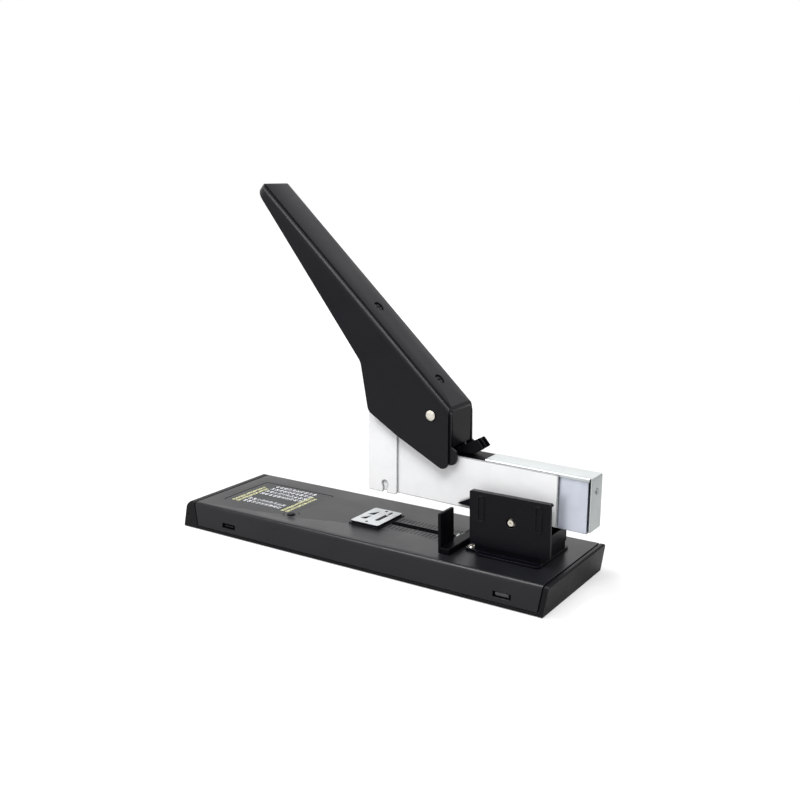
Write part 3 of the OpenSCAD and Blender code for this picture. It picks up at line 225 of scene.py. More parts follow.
def roughnessOf(tree, middle, broad, fine):
    # a broad noise round a middle roughness with a fine one on it, each given as (noise, its low and
    # high, what they add)
    noise, low, high, least, most = broad
    dulled = spanOf(tree, noise, low, high, middle + least, middle + most)
    return mathOf(tree, "ADD", dulled, spanOf(tree, *fine))


def newMaterial(name, color, metallic=0.0, **plain):
    # a material with its shader; plain values go straight on the shader's sockets
    material = bpy.data.materials.new(name)
    material.use_nodes = True
    tree = material.node_tree
    shader = tree.nodes["Principled BSDF"]
    shader.inputs["Base Color"].default_value = (*color, 1.0)
    shader.inputs["Metallic"].default_value = metallic
    for key, value in plain.items():
        shader.inputs[key.replace("_", " ")].default_value = value
    material.diffuse_color = (*color, 1.0)
    return material, tree, shader


def plug(tree, shader, **links):
    # links for the shader's sockets, by name
    for key, socket in links.items():
        tree.links.new(socket, shader.inputs[key.replace("_", " ")])


# Paints: stoved satin black on the sheet steel

# the rubbed tone and the wear are partly real rubbing and partly a painted highlight along the edges
paintLooks = {
    "shellPaint": {"color": (0.0060, 0.0063, 0.0078), "rubbedHighlightTone": (0.045, 0.046, 0.052), "gloss": 0.34,
                   "rough": 0.31, "peel": 900.0, "grain": 5200.0, "wear": 0.5, "edge": 0.25 * mm},
    "handlePaint": {"color": (0.0032, 0.0034, 0.0050), "rubbedHighlightTone": (0.05, 0.05, 0.056), "gloss": 0.22,
                    "rough": 0.32, "peel": 700.0, "grain": 6000.0, "wear": 0.2, "edge": 0.3 * mm},
    "bracketPaint": {"color": (0.0010, 0.0012, 0.0026), "rubbedHighlightTone": (0.05, 0.052, 0.06), "gloss": 0.17,
                     "rough": 0.30, "peel": 1000.0, "grain": 5600.0, "wear": 0.9, "edge": 0.25 * mm},
}


paintSurface = {  # shared by the paints: noises as (scale, detail, roughness), spans and bumps
    "peelDetail": (2.0,), "grainDetail": (2.0, 0.7), "cloud": (22.0, 4.0, 0.6), "patches": (120.0,),
    "cloudDull": (0.3, 0.7, -0.05, 0.06), "grainDull": (0.3, 0.7, -0.02, 0.03),
    "lighter": 1.35, "lightSpan": (0.35, 0.7, 0.0, 1.0), "patchSpan": (0.35, 0.65, 0.15),
    "rubbedHighlightEdge": 0.35 * mm, "grainBump": (0.06, 0.04 * mm), "peelBump": (0.10, 0.08 * mm),
}


def satinPaint(name, look, surface=paintSurface):
    # faint orange peel, a fine grain, edges lighter in patches, partly rubbed wear and partly a painted
    # highlight, and dust that takes the gloss off the seams
    material, tree, shader = newMaterial(name, look["color"], Specular_IOR_Level=look["gloss"])
    place = objectPlace(tree)
    peel = noiseOf(tree, place, look["peel"], *surface["peelDetail"])
    grain = noiseOf(tree, place, look["grain"], *surface["grainDetail"])
    cloud = noiseOf(tree, place, *surface["cloud"])
    rough = roughnessOf(tree, look["rough"], (cloud, *surface["cloudDull"]),
                        (grain, *surface["grainDull"]))
    patches = noiseOf(tree, place, *surface["patches"])
    # painted highlight: the edges turn lighter in patches, partly as rubbed wear
    patchy = spanOf(tree, patches, *surface["patchSpan"], look["wear"])
    worn = mathOf(tree, "MULTIPLY", edgeShare(tree, surface["rubbedHighlightEdge"]), patchy)
    light = tuple(surface["lighter"] * c for c in look["color"])
    tone = mixOf(tree, spanOf(tree, cloud, *surface["lightSpan"]), look["color"], light)
    tone = mixOf(tree, worn, tone, look["rubbedHighlightTone"])
    normal = bumpOf(tree, grain, *surface["grainBump"], edgeNormal(tree, look["edge"]))
    normal = bumpOf(tree, peel, *surface["peelBump"], normal)
    plug(tree, shader, Base_Color=tone, Roughness=rough, Normal=normal,
         Specular_IOR_Level=dustyGloss(tree, look["gloss"]))
    return material


# Plastics: base caps and tray, paper stop and latch, rubber pad and the chart's film

plasticLooks = {
    "basePlastic": {"color": (0.0060, 0.0061, 0.0068), "rubbedHighlightTone": (0.035, 0.035, 0.038), "gloss": 0.10,
                    "rough": 0.31, "grain": 2600.0, "edge": 0.25 * mm},
    "stopPlastic": {"color": (0.0012, 0.0012, 0.0020), "rubbedHighlightTone": (0.018, 0.018, 0.022), "gloss": 0.10,
                    "rough": 0.40, "grain": 3200.0, "edge": 0.25 * mm},
    "clipPlastic": {"color": (0.030, 0.030, 0.033), "rubbedHighlightTone": (0.06, 0.06, 0.065), "gloss": 0.5,
                    "rough": 0.35, "grain": 2600.0, "edge": 0.15 * mm},
    "gripRubber": {"color": (0.009, 0.009, 0.009), "rubbedHighlightTone": (0.02, 0.02, 0.02), "gloss": 0.3,
                   "rough": 0.75, "grain": 1400.0, "edge": 0.4 * mm},
    "chartFilm": {"color": (0.010, 0.011, 0.012), "rubbedHighlightTone": (0.03, 0.03, 0.03), "gloss": 0.3,
                  "rough": 0.34, "grain": 4200.0, "edge": 0.1 * mm},
}


plasticSurface = {  # shared by the plastics
    "grainScale": 0.6, "grainDetail": (3.0, 0.65), "cloud": (35.0, 3.0),
    "cloudDull": (0.3, 0.7, -0.05, 0.05), "lighter": 1.4, "lightSpan": (0.3, 0.75, 0.0, 1.0),
    "rubbedHighlightEdge": 0.4 * mm, "rubbedHighlightShare": 0.5, "polish": 0.12,
    "pitBump": (0.12, 0.06 * mm), "grainBump": (0.15, 0.06 * mm),
}


def mouldedPlastic(name, look, surface=plasticSurface):
    # spark-eroded moulding: fine pitted grain, flow clouds, edges polished by handling and lighter,
    # partly wear and partly a painted highlight
    material, tree, shader = newMaterial(name, look["color"], Specular_IOR_Level=look["gloss"])
    place = objectPlace(tree)
    pits = addNode(tree, "ShaderNodeTexVoronoi", Vector=place, Scale=look["grain"]).outputs["Distance"]
    grain = noiseOf(tree, place, look["grain"] * surface["grainScale"], *surface["grainDetail"])
    cloud = noiseOf(tree, place, *surface["cloud"])
    edge = edgeShare(tree, surface["rubbedHighlightEdge"])
    low, high, least, most = surface["cloudDull"]
    dulled = spanOf(tree, cloud, low, high, look["rough"] + least, look["rough"] + most)
    rough = mathOf(tree, "SUBTRACT", dulled, mathOf(tree, "MULTIPLY", edge, surface["polish"]))
    light = tuple(surface["lighter"] * c for c in look["color"])
    tone = mixOf(tree, spanOf(tree, cloud, *surface["lightSpan"]), look["color"], light)
    # painted highlight: the edges turn lighter, partly as rubbed wear
    tone = mixOf(tree, mathOf(tree, "MULTIPLY", edge, surface["rubbedHighlightShare"]), tone, look["rubbedHighlightTone"])
    normal = bumpOf(tree, pits, *surface["pitBump"], edgeNormal(tree, look["edge"]))
    normal = bumpOf(tree, grain, *surface["grainBump"], normal)
    plug(tree, shader, Base_Color=tone, Roughness=rough, Normal=normal,
         Specular_IOR_Level=dustyGloss(tree, look["gloss"]))
    return material


# Plating: bright satin chrome over rolled sheet

# each look's darkest tone is painted shade, laid into seams and corners and as an outline along the
# edges
platingLooks = {
    "housingChrome": {"color": (0.82, 0.826, 0.83), "tarnish": (0.74, 0.75, 0.76),
                      "paintedShadeTone": (0.035, 0.037, 0.045), "metal": 0.14, "rough": 0.40, "lines": 700.0,
                      "stretch": (0.05, 1.0, 1.0), "edge": 0.2 * mm, "reach": 3.0 * mm,
                      "cut": 1.3 * mm, "cutShare": 1.0},
    "coverChrome": {"color": (0.60, 0.635, 0.63), "tarnish": (0.50, 0.54, 0.53),
                    "paintedShadeTone": (0.08, 0.09, 0.10), "metal": 0.7, "rough": 0.28, "lines": 800.0,
                    "stretch": (0.05, 1.0, 1.0), "edge": 0.2 * mm, "reach": 1.6 * mm,
                    "cut": 0.6 * mm, "cutShare": 0.5},
    "channelChrome": {"color": (0.66, 0.70, 0.79), "tarnish": (0.50, 0.53, 0.63),
                      "paintedShadeTone": (0.10, 0.11, 0.15), "metal": 0.6, "rough": 0.32, "lines": 800.0,
                      "stretch": (0.05, 1.0, 1.0), "edge": 0.2 * mm, "reach": 2.5 * mm,
                      "cut": 0.9 * mm, "cutShare": 0.9},
}


platingSurface = {  # shared by the platings
    "lineDetail": (4.0, 0.7), "smudge": (55.0, 4.0, 0.6, 0.6), "smudgeDull": (0.35, 0.75, 0.0, 0.08),
    "lineDull": (0.3, 0.8, -0.02, 0.04), "tarnishSpan": (0.45, 0.8, 0.0, 0.6),
    "lineBump": (0.05, 0.03 * mm),
}


def platedSheet(name, look, surface=platingSurface):
    # rolling lines along the piece, smudges, painted shade in the seams where sheets meet and a painted
    # dark outline along the edges
    material, tree, shader = newMaterial(name, look["color"], look["metal"])
    place = objectPlace(tree)
    drawn = stretched(tree, place, look["stretch"])
    lines = noiseOf(tree, drawn, look["lines"], *surface["lineDetail"])
    smudge = noiseOf(tree, place, *surface["smudge"])
    rough = roughnessOf(tree, look["rough"], (smudge, *surface["smudgeDull"]),
                        (lines, *surface["lineDull"]))
    tarnished = spanOf(tree, smudge, *surface["tarnishSpan"])
    tone = mixOf(tree, tarnished, look["color"], look["tarnish"])
    # painted shade: the tone darkens to the darkest one in seams and corners and in a thin outline along
    # the edges
    cutEdge = mathOf(tree, "MULTIPLY", edgeShare(tree, look["cut"]), look["cutShare"])
    paintedShadeShare = mathOf(tree, "MAXIMUM", creviceShare(tree, look["reach"]), cutEdge)
    tone = mixOf(tree, paintedShadeShare, tone, look["paintedShadeTone"])
    normal = bumpOf(tree, lines, *surface["lineBump"], edgeNormal(tree, look["edge"]))
    plug(tree, shader, Base_Color=tone, Roughness=rough, Normal=normal)
    return material


# Bare and zinc-plated steel of the anvil, the pins, the rivets, the springs and the screws

# each look's darkest tone is painted shade for seams and recesses
steelLooks = {
    "anvilSteel": {"color": (0.60, 0.62, 0.63), "tarnish": (0.47, 0.49, 0.50),
                   "paintedShadeTone": (0.006, 0.006, 0.007), "metal": 0.5, "rough": 0.34, "lines": 900.0,
                   "stretch": (0.08, 1.0, 1.0), "edge": 0.15 * mm, "reach": 1.6 * mm,
                   "top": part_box("anvil_plate")[1][2]},
    "zincPlate": {"color": (0.56, 0.57, 0.58), "tarnish": (0.42, 0.44, 0.46),
                  "paintedShadeTone": (0.04, 0.04, 0.045), "metal": 0.9, "rough": 0.34, "lines": 1500.0,
                  "stretch": (0.2, 1.0, 1.0), "edge": 0.15 * mm, "reach": 1.0 * mm},
    "creamRivet": {"color": (0.86, 0.82, 0.74), "tarnish": (0.72, 0.66, 0.56),
                   "paintedShadeTone": (0.07, 0.06, 0.05), "metal": 0.8, "rough": 0.2, "lines": 2500.0,
                   "stretch": (1.0, 1.0, 1.0), "edge": 0.1 * mm, "reach": 1.8 * mm},
    "springSteel": {"color": (0.50, 0.50, 0.51), "tarnish": (0.34, 0.34, 0.36),
                    "paintedShadeTone": (0.03, 0.03, 0.03), "metal": 1.0, "rough": 0.26, "lines": 2600.0,
                    "stretch": (1.0, 1.0, 0.2), "edge": 0.05 * mm, "reach": 0.6 * mm},
    "blackedSteel": {"color": (0.004, 0.004, 0.005), "tarnish": (0.008, 0.008, 0.009),
                     "paintedShadeTone": (0.001, 0.001, 0.001), "metal": 0.0, "rough": 0.45, "lines": 2600.0,
                     "stretch": (1.0, 1.0, 1.0), "edge": 0.1 * mm, "reach": 0.8 * mm},
}


steelSurface = {  # shared by the steels
    "grainDetail": (4.0, 0.65), "cloud": (140.0, 4.0, 0.6), "cloudDull": (0.3, 0.7, -0.06, 0.08),
    "grainDull": (0.3, 0.7, -0.04, 0.05), "tarnishSpan": (0.4, 0.75, 0.0, 0.7),
    "sunkShadeFrom": 0.4 * mm, "sunkShadeTo": 0.12 * mm,  # how far below a given top the painted shade comes in
    "grainBump": (0.10, 0.05 * mm),
}


def bareSteel(name, look, surface=steelSurface):
    # drawn or ground grain, cloudy oxide, and painted shade in recesses and on all that lies below a
    # given top
    material, tree, shader = newMaterial(name, look["color"], look["metal"])
    place = objectPlace(tree)
    drawn = stretched(tree, place, look["stretch"])
    grain = noiseOf(tree, drawn, look["lines"], *surface["grainDetail"])
    cloud = noiseOf(tree, place, *surface["cloud"])
    rough = roughnessOf(tree, look["rough"], (cloud, *surface["cloudDull"]),
                        (grain, *surface["grainDull"]))
    tarnished = spanOf(tree, cloud, *surface["tarnishSpan"])
    tone = mixOf(tree, tarnished, look["color"], look["tarnish"])
    # painted shade: darker in seams and recesses, and on the anvil below its top, in its grooves and
    # dents
    paintedShadeShare = creviceShare(tree, look["reach"])
    if "top" in look:
        height = addNode(tree, "ShaderNodeSeparateXYZ", Vector=place).outputs["Z"]
        low, high = look["top"] - surface["sunkShadeFrom"], look["top"] - surface["sunkShadeTo"]
        paintedShadeShare = mathOf(tree, "MAXIMUM", paintedShadeShare, spanOf(tree, height, low, high, 1.0, 0.0, True))
    tone = mixOf(tree, paintedShadeShare, tone, look["paintedShadeTone"])
    normal = bumpOf(tree, grain, *surface["grainBump"], edgeNormal(tree, look["edge"]))
    plug(tree, shader, Base_Color=tone, Roughness=rough, Normal=normal)
    return material


# Inks of the size chart

inkLooks = {
    "chartWhite": {"color": (0.70, 0.71, 0.74), "worn": (0.48, 0.49, 0.52)},
    "chartYellow": {"color": (0.66, 0.65, 0.36), "worn": (0.46, 0.45, 0.26)},
}


inkSurface = {"wear": (260.0, 4.0, 0.65), "wearSpan": (0.45, 0.7, 0.0, 1.0), "gloss": 0.3,
              "rough": (0.42, 0.6), "screen": (5200.0, 1.0), "screenBump": (0.1, 0.02 * mm)}


def screenInk(name, look, surface=inkSurface):
    # screen-printed ink: a little worn through, with a soft sheen
    material, tree, shader = newMaterial(name, look["color"], Specular_IOR_Level=surface["gloss"])
    place = objectPlace(tree)
    worn = spanOf(tree, noiseOf(tree, place, *surface["wear"]), *surface["wearSpan"])
    tone = mixOf(tree, worn, look["color"], look["worn"])
    screen = noiseOf(tree, place, *surface["screen"])
    plug(tree, shader, Base_Color=tone, Roughness=spanOf(tree, worn, 0.0, 1.0, *surface["rough"]),
         Normal=bumpOf(tree, screen, *surface["screenBump"]))
    return material


finishes = {}
makers = ((satinPaint, paintLooks), (mouldedPlastic, plasticLooks), (platedSheet, platingLooks),
          (bareSteel, steelLooks), (screenInk, inkLooks))
for maker, looks in makers:
    for name, look in looks.items():
        finishes[name] = maker(name, look)

finishOfSlot = {
    "shell_paint": "shellPaint", "handle_paint": "handlePaint", "bracket_paint": "bracketPaint",
    "base_plastic": "basePlastic", "stop_plastic": "stopPlastic", "grip_rubber": "gripRubber",
    "chart_print": "chartFilm", "housing_chrome": "housingChrome", "cover_chrome": "coverChrome",
    "channel_chrome": "channelChrome", "anvil_steel": "anvilSteel", "plain_steel": "zincPlate",
    "spring_steel": "springSteel", "rivet_steel": "creamRivet", "screw_chrome": "coverChrome",
    "black_steel": "blackedSteel",
}
slotOf = {row["node"]: row["material_slot"] for row in frame["record"]["subparts"]}
slotShadeFinish = {"stiffener_plate": "blackedSteel"}  # painted shade: the plate under the slot is made black so that the slot shows as a dark band
for name, node in nodes.items():
    node.data.materials.clear()
    node.data.materials.append(finishes[slotShadeFinish.get(name, finishOfSlot[slotOf[name]])])
print("stage: finishes", len(finishes))


# Sheet and moulded pieces with their edges rounded

softEdges = {  # width of the rounding in mm
    "base_shell": 0.3, "front_cap": 0.3, "rear_cap": 0.3, "base_tray": 0.3, "corner_plug": 0.3,
    "anvil_seat": 0.2, "pedestal_bracket": 0.25, "near_side_plate": 0.3,
    "far_side_plate": 0.3, "paper_stop": 0.35, "housing_plates": 0.15, "nose_sleeve": 0.2,
    "magazine_cover": 0.12, "handle_cover": 0.3, "handle_lever": 0.3, "release_latch": 0.25,
    "head_carrier": 0.25, "latch_seat": 0.2, "grip_pad": 0.4, "stop_slider": 0.2, "push_arm": 0.2,
    "axle_collars": 0.15, "staple_pusher": 0.2,
}
rounding = {"merge": 1e-6, "flat": 0.3, "smooth": 30, "sharp": 32, "rows": 2}  # metres, then degrees


def roundEdges(nodeName, width):
    # a copy of the node's mesh, joined up and with its flats made whole, then rounded along its edges
    mesh = nodes[nodeName].data.copy()
    mesh.name = nodeName + "Rounded"
    shape = bmesh.new()
    shape.from_mesh(mesh)
    bmesh.ops.remove_doubles(shape, verts=shape.verts, dist=rounding["merge"])
    flat = math.radians(rounding["flat"])
    bmesh.ops.dissolve_limit(shape, angle_limit=flat, verts=shape.verts, edges=shape.edges)
    shape.to_mesh(mesh)
    shape.free()
    piece = bpy.data.objects.new(nodeName + "Rounded", mesh)
    bpy.context.scene.collection.objects.link(piece)
    mesh.shade_smooth()
    mesh.set_sharp_from_angle(angle=math.radians(rounding["smooth"]))
    bevel = piece.modifiers.new("rounding", "BEVEL")
    bevel.width = width * mm
    bevel.segments = rounding["rows"]
    bevel.limit_method = "ANGLE"
    bevel.angle_limit = math.radians(rounding["sharp"])
    bevel.use_clamp_overlap = True
    bevel.harden_normals = True
    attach(piece, bodyOf[nodeName])
    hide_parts(nodeName)


for name, width in softEdges.items():
    roundEdges(name, width)
print("stage: edges rounded on", len(softEdges), "pieces")


# New pieces, worked out as whole arrays

def asPoints(array, place):
    # points in a piece's own frame, in mm, placed in the whole object's frame, in metres
    flat = np.asarray(array, float).reshape(-1, 3) * mm
    turn = np.array(place)
    return flat @ turn[:3, :3].T + turn[:3, 3]


def gridFaces(rows, columns):
    # quads of a grid whose columns close on themselves
    i, j = np.meshgrid(np.arange(rows - 1), np.arange(columns), indexing="ij")
    k = (j + 1) % columns
    below = (i + 1) * columns
    return np.stack([i * columns + j, i * columns + k, below + k, below + j], -1).reshape(-1, 4)


def openFaces(rows, columns):
    # quads of a grid that stays open at its rims
    i, j = np.meshgrid(np.arange(rows - 1), np.arange(columns - 1), indexing="ij")
    corner = i * columns + j
    return np.stack([corner, corner + columns, corner + columns + 1, corner + 1], -1).reshape(-1, 4)


def joinedUp(parts):
    # pairs of points and faces put one after another, the faces counted on past the points before them
    starts = np.cumsum([0] + [len(points) for points, _ in parts])
    faces = [part[1] + start for part, start in zip(parts, starts)]
    return np.concatenate([points for points, _ in parts]), np.concatenate(faces)


surfaces = {"merge": 1e-7, "smooth": 35}  # metres between doubles, and degrees between smooth faces


def addPiece(name, points, faces, body, slotName, replaced=(), turnOut=True):
    # a mesh of points and faces, its doubles merged, its faces turned out and shaded smooth
    mesh = bpy.data.meshes.new(name)
    mesh.from_pydata(points.tolist(), [], faces.tolist())
    shape = bmesh.new()
    shape.from_mesh(mesh)
    bmesh.ops.remove_doubles(shape, verts=shape.verts, dist=surfaces["merge"])
    if turnOut:
        bmesh.ops.recalc_face_normals(shape, faces=shape.faces)
    shape.to_mesh(mesh)
    shape.free()
    mesh.shade_smooth()
    mesh.set_sharp_from_angle(angle=math.radians(surfaces["smooth"]))
    mesh.materials.append(finishes[finishOfSlot[slotName]])
    piece = bpy.data.objects.new(name, mesh)
    bpy.context.scene.collection.objects.link(piece)
    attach(piece, body)
    if replaced:
        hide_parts(*replaced)
    return piece


def alongWire(path, radius, sides=14):
    # round wire: each ring is centre + radius * (cos of the angle * side + sin of the angle * lift),
    # where side is square to the way and to the coil's axis, and lift is square to both
    way = np.gradient(path, axis=0)
    way /= np.linalg.norm(way, axis=1, keepdims=True)
    side = np.cross(way, [0.0, 0.0, 1.0])
    side /= np.linalg.norm(side, axis=1, keepdims=True)
    lift = np.cross(side, way)
    angle = np.linspace(0, 2 * np.pi, sides, endpoint=False)[None, :, None]
    rings = path[:, None] + radius * (np.cos(angle) * side[:, None] + np.sin(angle) * lift[:, None])
    ends = path[[0, -1], None] + np.zeros((1, sides, 1))
    rings = np.concatenate([ends[:1], rings, ends[1:]])
    return rings, gridFaces(len(rings), sides)


def closedCoil(radius, turns, height, wire, steps=48, touching=2.06):
    # a compression coil: the first and last turn lie flat, touching wire radii high, and the rest
    # climbs evenly between them; each point is (radius * cos, radius * sin of the angle, rise)
    turn = np.linspace(0, turns, int(turns * steps) + 1)
    flat = touching * wire
    rise = np.interp(turn, [0, 1, turns - 1, turns], [0, flat, height - flat, height])
    angle = -2 * np.pi * turn
    return np.stack([radius * np.cos(angle), radius * np.sin(angle), rise], 1)


# Springs

headSpring = {"wire": 0.7, "radius": 5.04, "turns": 6.5, "foot": 21.06, "top": 38.0, "x": 92.78}


def makeHeadSpring(sizes):
    # a coil upright on the base, from its foot up to the given top, less the wire at each end
    height = sizes["top"] - sizes["foot"] - 2 * sizes["wire"]
    path = closedCoil(sizes["radius"], sizes["turns"], height, sizes["wire"])
    rings, faces = alongWire(path, sizes["wire"])
    seat = Matrix.Translation(Vector((sizes["x"], 0, sizes["foot"] + sizes["wire"])) * mm)
    piece = addPiece("headSpring", asPoints(rings, seat), faces, "base", "spring_steel", ["head_spring"])
    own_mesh(piece)


pusherSpring = {"wire": 0.44, "radius": 2.96, "turns": 34, "front": 10.25, "rear": 148.75, "z": 67.0,
                "steps": 32, "sides": 10}


def makePusherSpring(sizes):
    # a coil along the head's own X axis, round the guide rod, from the front to the rear given
    length = sizes["rear"] - sizes["front"] - 2 * sizes["wire"]
    path = closedCoil(sizes["radius"], sizes["turns"], length, sizes["wire"], steps=sizes["steps"])
    rings, faces = alongWire(path, sizes["wire"], sizes["sides"])
    lay = Matrix.Rotation(math.pi / 2, 4, "Y")
    start = Vector((sizes["front"] + sizes["wire"], 0, sizes["z"])) * mm
    place = headPlace @ Matrix.Translation(start) @ lay
    piece = addPiece("pusherSpring", asPoints(rings, place), faces, "cover", "spring_steel",
                     ["pusher_spring"])
    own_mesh(piece)


handleSpring = {"wire": 0.5, "radius": 5.2, "turns": 1.875, "rise": 3.3, "side": 7.65,
                "lowLeg": 16.1, "highLeg": 13.5, "steps": 91, "legSteps": 12}


def makeHandleSpring(sizes):
    # a torsion spring round the pivot: one leg hangs down to a cross pin, and the other leaves the
    # coil along (sin, -cos) of its last angle and reaches forward
    turn = np.linspace(0, sizes["turns"], sizes["steps"])
    angle = np.pi - 2 * np.pi * turn
    coil = np.stack([sizes["radius"] * np.cos(angle), sizes["radius"] * np.sin(angle),
                     sizes["rise"] * turn / sizes["turns"]], 1)
    share = np.linspace(0, 1, sizes["legSteps"])[:-1, None]
    low = coil[0] - (1 - share) * np.array([0, sizes["lowLeg"], 0])
    leave = np.array([np.sin(angle[-1]), -np.cos(angle[-1]), 0.0])
    high = coil[-1] + (share + share[1]) * sizes["highLeg"] * leave
    rings, faces = alongWire(np.concatenate([low, coil, high]), sizes["wire"])
    stand = Matrix.Rotation(math.pi / 2, 4, "X")
    place = Matrix.Translation(pivotPlace + Vector((0, sizes["side"] * mm, 0))) @ headTurn @ stand
    addPiece("handleSpring", asPoints(rings, place), faces, "head", "spring_steel", ["handle_spring"])


makeHeadSpring(headSpring)
makePusherSpring(pusherSpring)
makeHandleSpring(handleSpring)
print("stage: springs")


# Turned pieces: rivets, pin ends and screws

def turned(profile, steps=64):
    # a turned face: each point (radius, height) of the profile goes round the axis, and its ring is
    # (radius * cos of the angle, radius * sin of the angle, height)
    radius, height = np.asarray(profile, float).T
    angle = np.linspace(0, 2 * np.pi, steps, endpoint=False)
    rings = np.stack([radius[:, None] * np.cos(angle), radius[:, None] * np.sin(angle),
                      height[:, None] + 0 * angle], -1)
    return rings, gridFaces(len(radius), steps)


def domeProfile(radius, rise, foot, steps=12, lift=0.0):
    # a domed head: its top is sqrt(ball ^ 2 - r ^ 2) - (ball - rise) over the lift, where the ball's
    # radius is (radius ^ 2 + rise ^ 2) / (2 * rise), and past its rim it drops to the foot
    ball = (radius ** 2 + rise ** 2) / (2 * rise)
    r = np.linspace(0, radius, steps)
    top = np.sqrt(ball ** 2 - r ** 2) - (ball - rise) + lift
    return np.concatenate([np.stack([r, top], 1), [[radius, foot], [0, foot]]])


def crossed(rings, half, reach, depth, slope=0.35):
    # sinks a cross into a head: the sinking is depth * a smooth step of how far inside the cross
    # a point lies, as a share of slope * half, and only the rim's own ring stays where it is
    x, y = np.abs(rings[..., 0]), np.abs(rings[..., 1])
    arm = np.minimum(np.maximum(x - half, y - reach), np.maximum(y - half, x - reach))
    share = np.clip(-arm / (slope * half), 0, 1)
    sunk = rings.copy()
    inner = rings[..., 2] > rings[..., 2].min() + 1e-6
    sunk[..., 2] -= depth * share * share * (3 - 2 * share) * inner
    return sunk


def facing(place, way):
    # a frame at a place in metres, with its third axis along way
    return Matrix.Translation(place) @ Vector(way).to_track_quat("Z", "Y").to_matrix().to_4x4()


def bothEnds(profile, middle, face):
    # a turned profile on both ends of a pin along Y, at face from its middle and looking outwards
    rings, quads = turned(profile)
    ends = []
    for side in (1, -1):
        place = facing(middle + Vector((0, side * face * mm, 0)), (0, side, 0))
        ends.append((asPoints(rings, place), quads))
    return joinedUp(ends)


pivotHead = {"radius": 3.2, "rise": 1.0, "foot": -0.9, "face": 14.65}
axleEnd = {"radius": 1.95, "dimple": 0.75, "deep": 0.55, "face": 17.0, "rise": 0.75, "rim": 0.45,
           "foot": -0.9, "steps": 15}


def makePivotHeads(sizes):
    # the two domed heads of the handle's rivet
    profile = domeProfile(sizes["radius"], sizes["rise"], sizes["foot"])
    points, faces = bothEnds(profile, pivotPlace, sizes["face"])
    addPiece("pivotRivetHeads", points, faces, "handle", "rivet_steel")


def makeAxleEnds(sizes):
    # the swaged end of each pin, a rounded rim round a dimple: rise * (rim + (1 - rim) * the root of
    # 1 - (distance from the rim's middle / its half width) ^ 2), less deep * a smooth step of
    # 1 - r / dimple
    r = sizes["radius"] * np.linspace(0, 1, sizes["steps"])
    middle = (sizes["dimple"] + sizes["radius"]) / 2
    bulge = np.clip(1 - ((r - middle) / (sizes["radius"] - middle)) ** 2, 0, 1) ** 0.5
    sink = np.clip(1 - r / sizes["dimple"], 0, 1)
    top = sizes["rise"] * (sizes["rim"] + (1 - sizes["rim"]) * bulge)
    top -= sizes["deep"] * sink * sink * (3 - 2 * sink)
    foot = [[sizes["radius"], sizes["foot"]], [0, sizes["foot"]]]
    profile = np.concatenate([np.stack([r, top], 1), foot])
    points, faces = bothEnds(profile, axlePlace, sizes["face"])
    addPiece("axlePinEnds", points, faces, "base", "rivet_steel")


makePivotHeads(pivotHead)
makeAxleEnds(axleEnd)


crossHeads = {
    "pedestalScrewHeads": {"radius": 2.5, "rise": 1.1, "half": 0.38, "reach": 1.5, "deep": 0.7,
                           "slot": "rivet_steel", "replaced": ["pedestal_screws"]},
    "stopScrewHead": {"radius": 3.0, "rise": 1.2, "half": 0.36, "reach": 1.5, "deep": 0.6,
                      "slot": "screw_chrome", "replaced": ["stop_screw"]},
}
crossHeadGrid = {"rings": 40, "steps": 120, "lift": 0.2}
crossHeadSeats = {
    "footGap": 0.14,  # the head spring's solid starts this far above the pedestal's foot
    "turns": (20, 65, 40, 5),  # degrees that the pedestal's screws are turned by
    "stopSunk": 1.05,  # the stop's screw is seated this far below its solid's top
    "stopTurn": 35,
}


def makeCrossHeads(name, places, body):
    # a domed head with a cross sunk into it, at each place and turned by its angle
    sizes, rows = crossHeads[name], crossHeadGrid["rings"]
    profile = domeProfile(sizes["radius"], sizes["rise"], 0, rows, crossHeadGrid["lift"])
    rings, quads = turned(profile, crossHeadGrid["steps"])
    rings[:rows] = crossed(rings[:rows], sizes["half"], sizes["reach"], sizes["deep"])
    heads = []
    for place, turn in places:
        spin = Matrix.Rotation(math.radians(turn), 4, "Z")
        heads.append((asPoints(rings, Matrix.Translation(place) @ spin), quads))
    points, faces = joinedUp(heads)
    addPiece(name, points, faces, body, sizes["slot"], sizes["replaced"])


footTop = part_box("head_spring")[0][2] - crossHeadSeats["footGap"] * mm
screwLow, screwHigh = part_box("pedestal_screws")
inset = crossHeads["pedestalScrewHeads"]["radius"] * mm
screwSpots = [(x, y) for x in (screwLow[0] + inset, screwHigh[0] - inset)
              for y in (screwHigh[1] - inset, inset - screwHigh[1])]
screwPlaces = [(Vector((x, y, footTop)), turn)
               for (x, y), turn in zip(screwSpots, crossHeadSeats["turns"])]
makeCrossHeads("pedestalScrewHeads", screwPlaces, "base")
stopLow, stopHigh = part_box("stop_screw")
stopSeat = Vector(((stopLow[0] + stopHigh[0]) / 2, 0, stopHigh[2] - crossHeadSeats["stopSunk"] * mm))
makeCrossHeads("stopScrewHead", [(stopSeat, crossHeadSeats["stopTurn"])], "stop")
print("stage: turned pieces")


# Anvil face: a ground plate with one long clinch groove, a short one and two wedge-shaped dents

anvilFace = {
    "columns": 150, "rows": 190, "corner": 1.4, "rim": 0.35, "rimFall": 0.12, "deep": 0.85,
    "grooves": ((4.6, -5.4, 4.4, 1.7), (4.9, 7.2, 10.8, 0.9)),  # across, from, to and half width
    "wedges": ((-6.0, -7.2, -0.4, 2.3), (-5.8, 1.8, 8.8, 2.4)),
    "tip": 0.15, "heel": 0.6,  # half width at a wedge's tip, and how soon its wide end closes
}


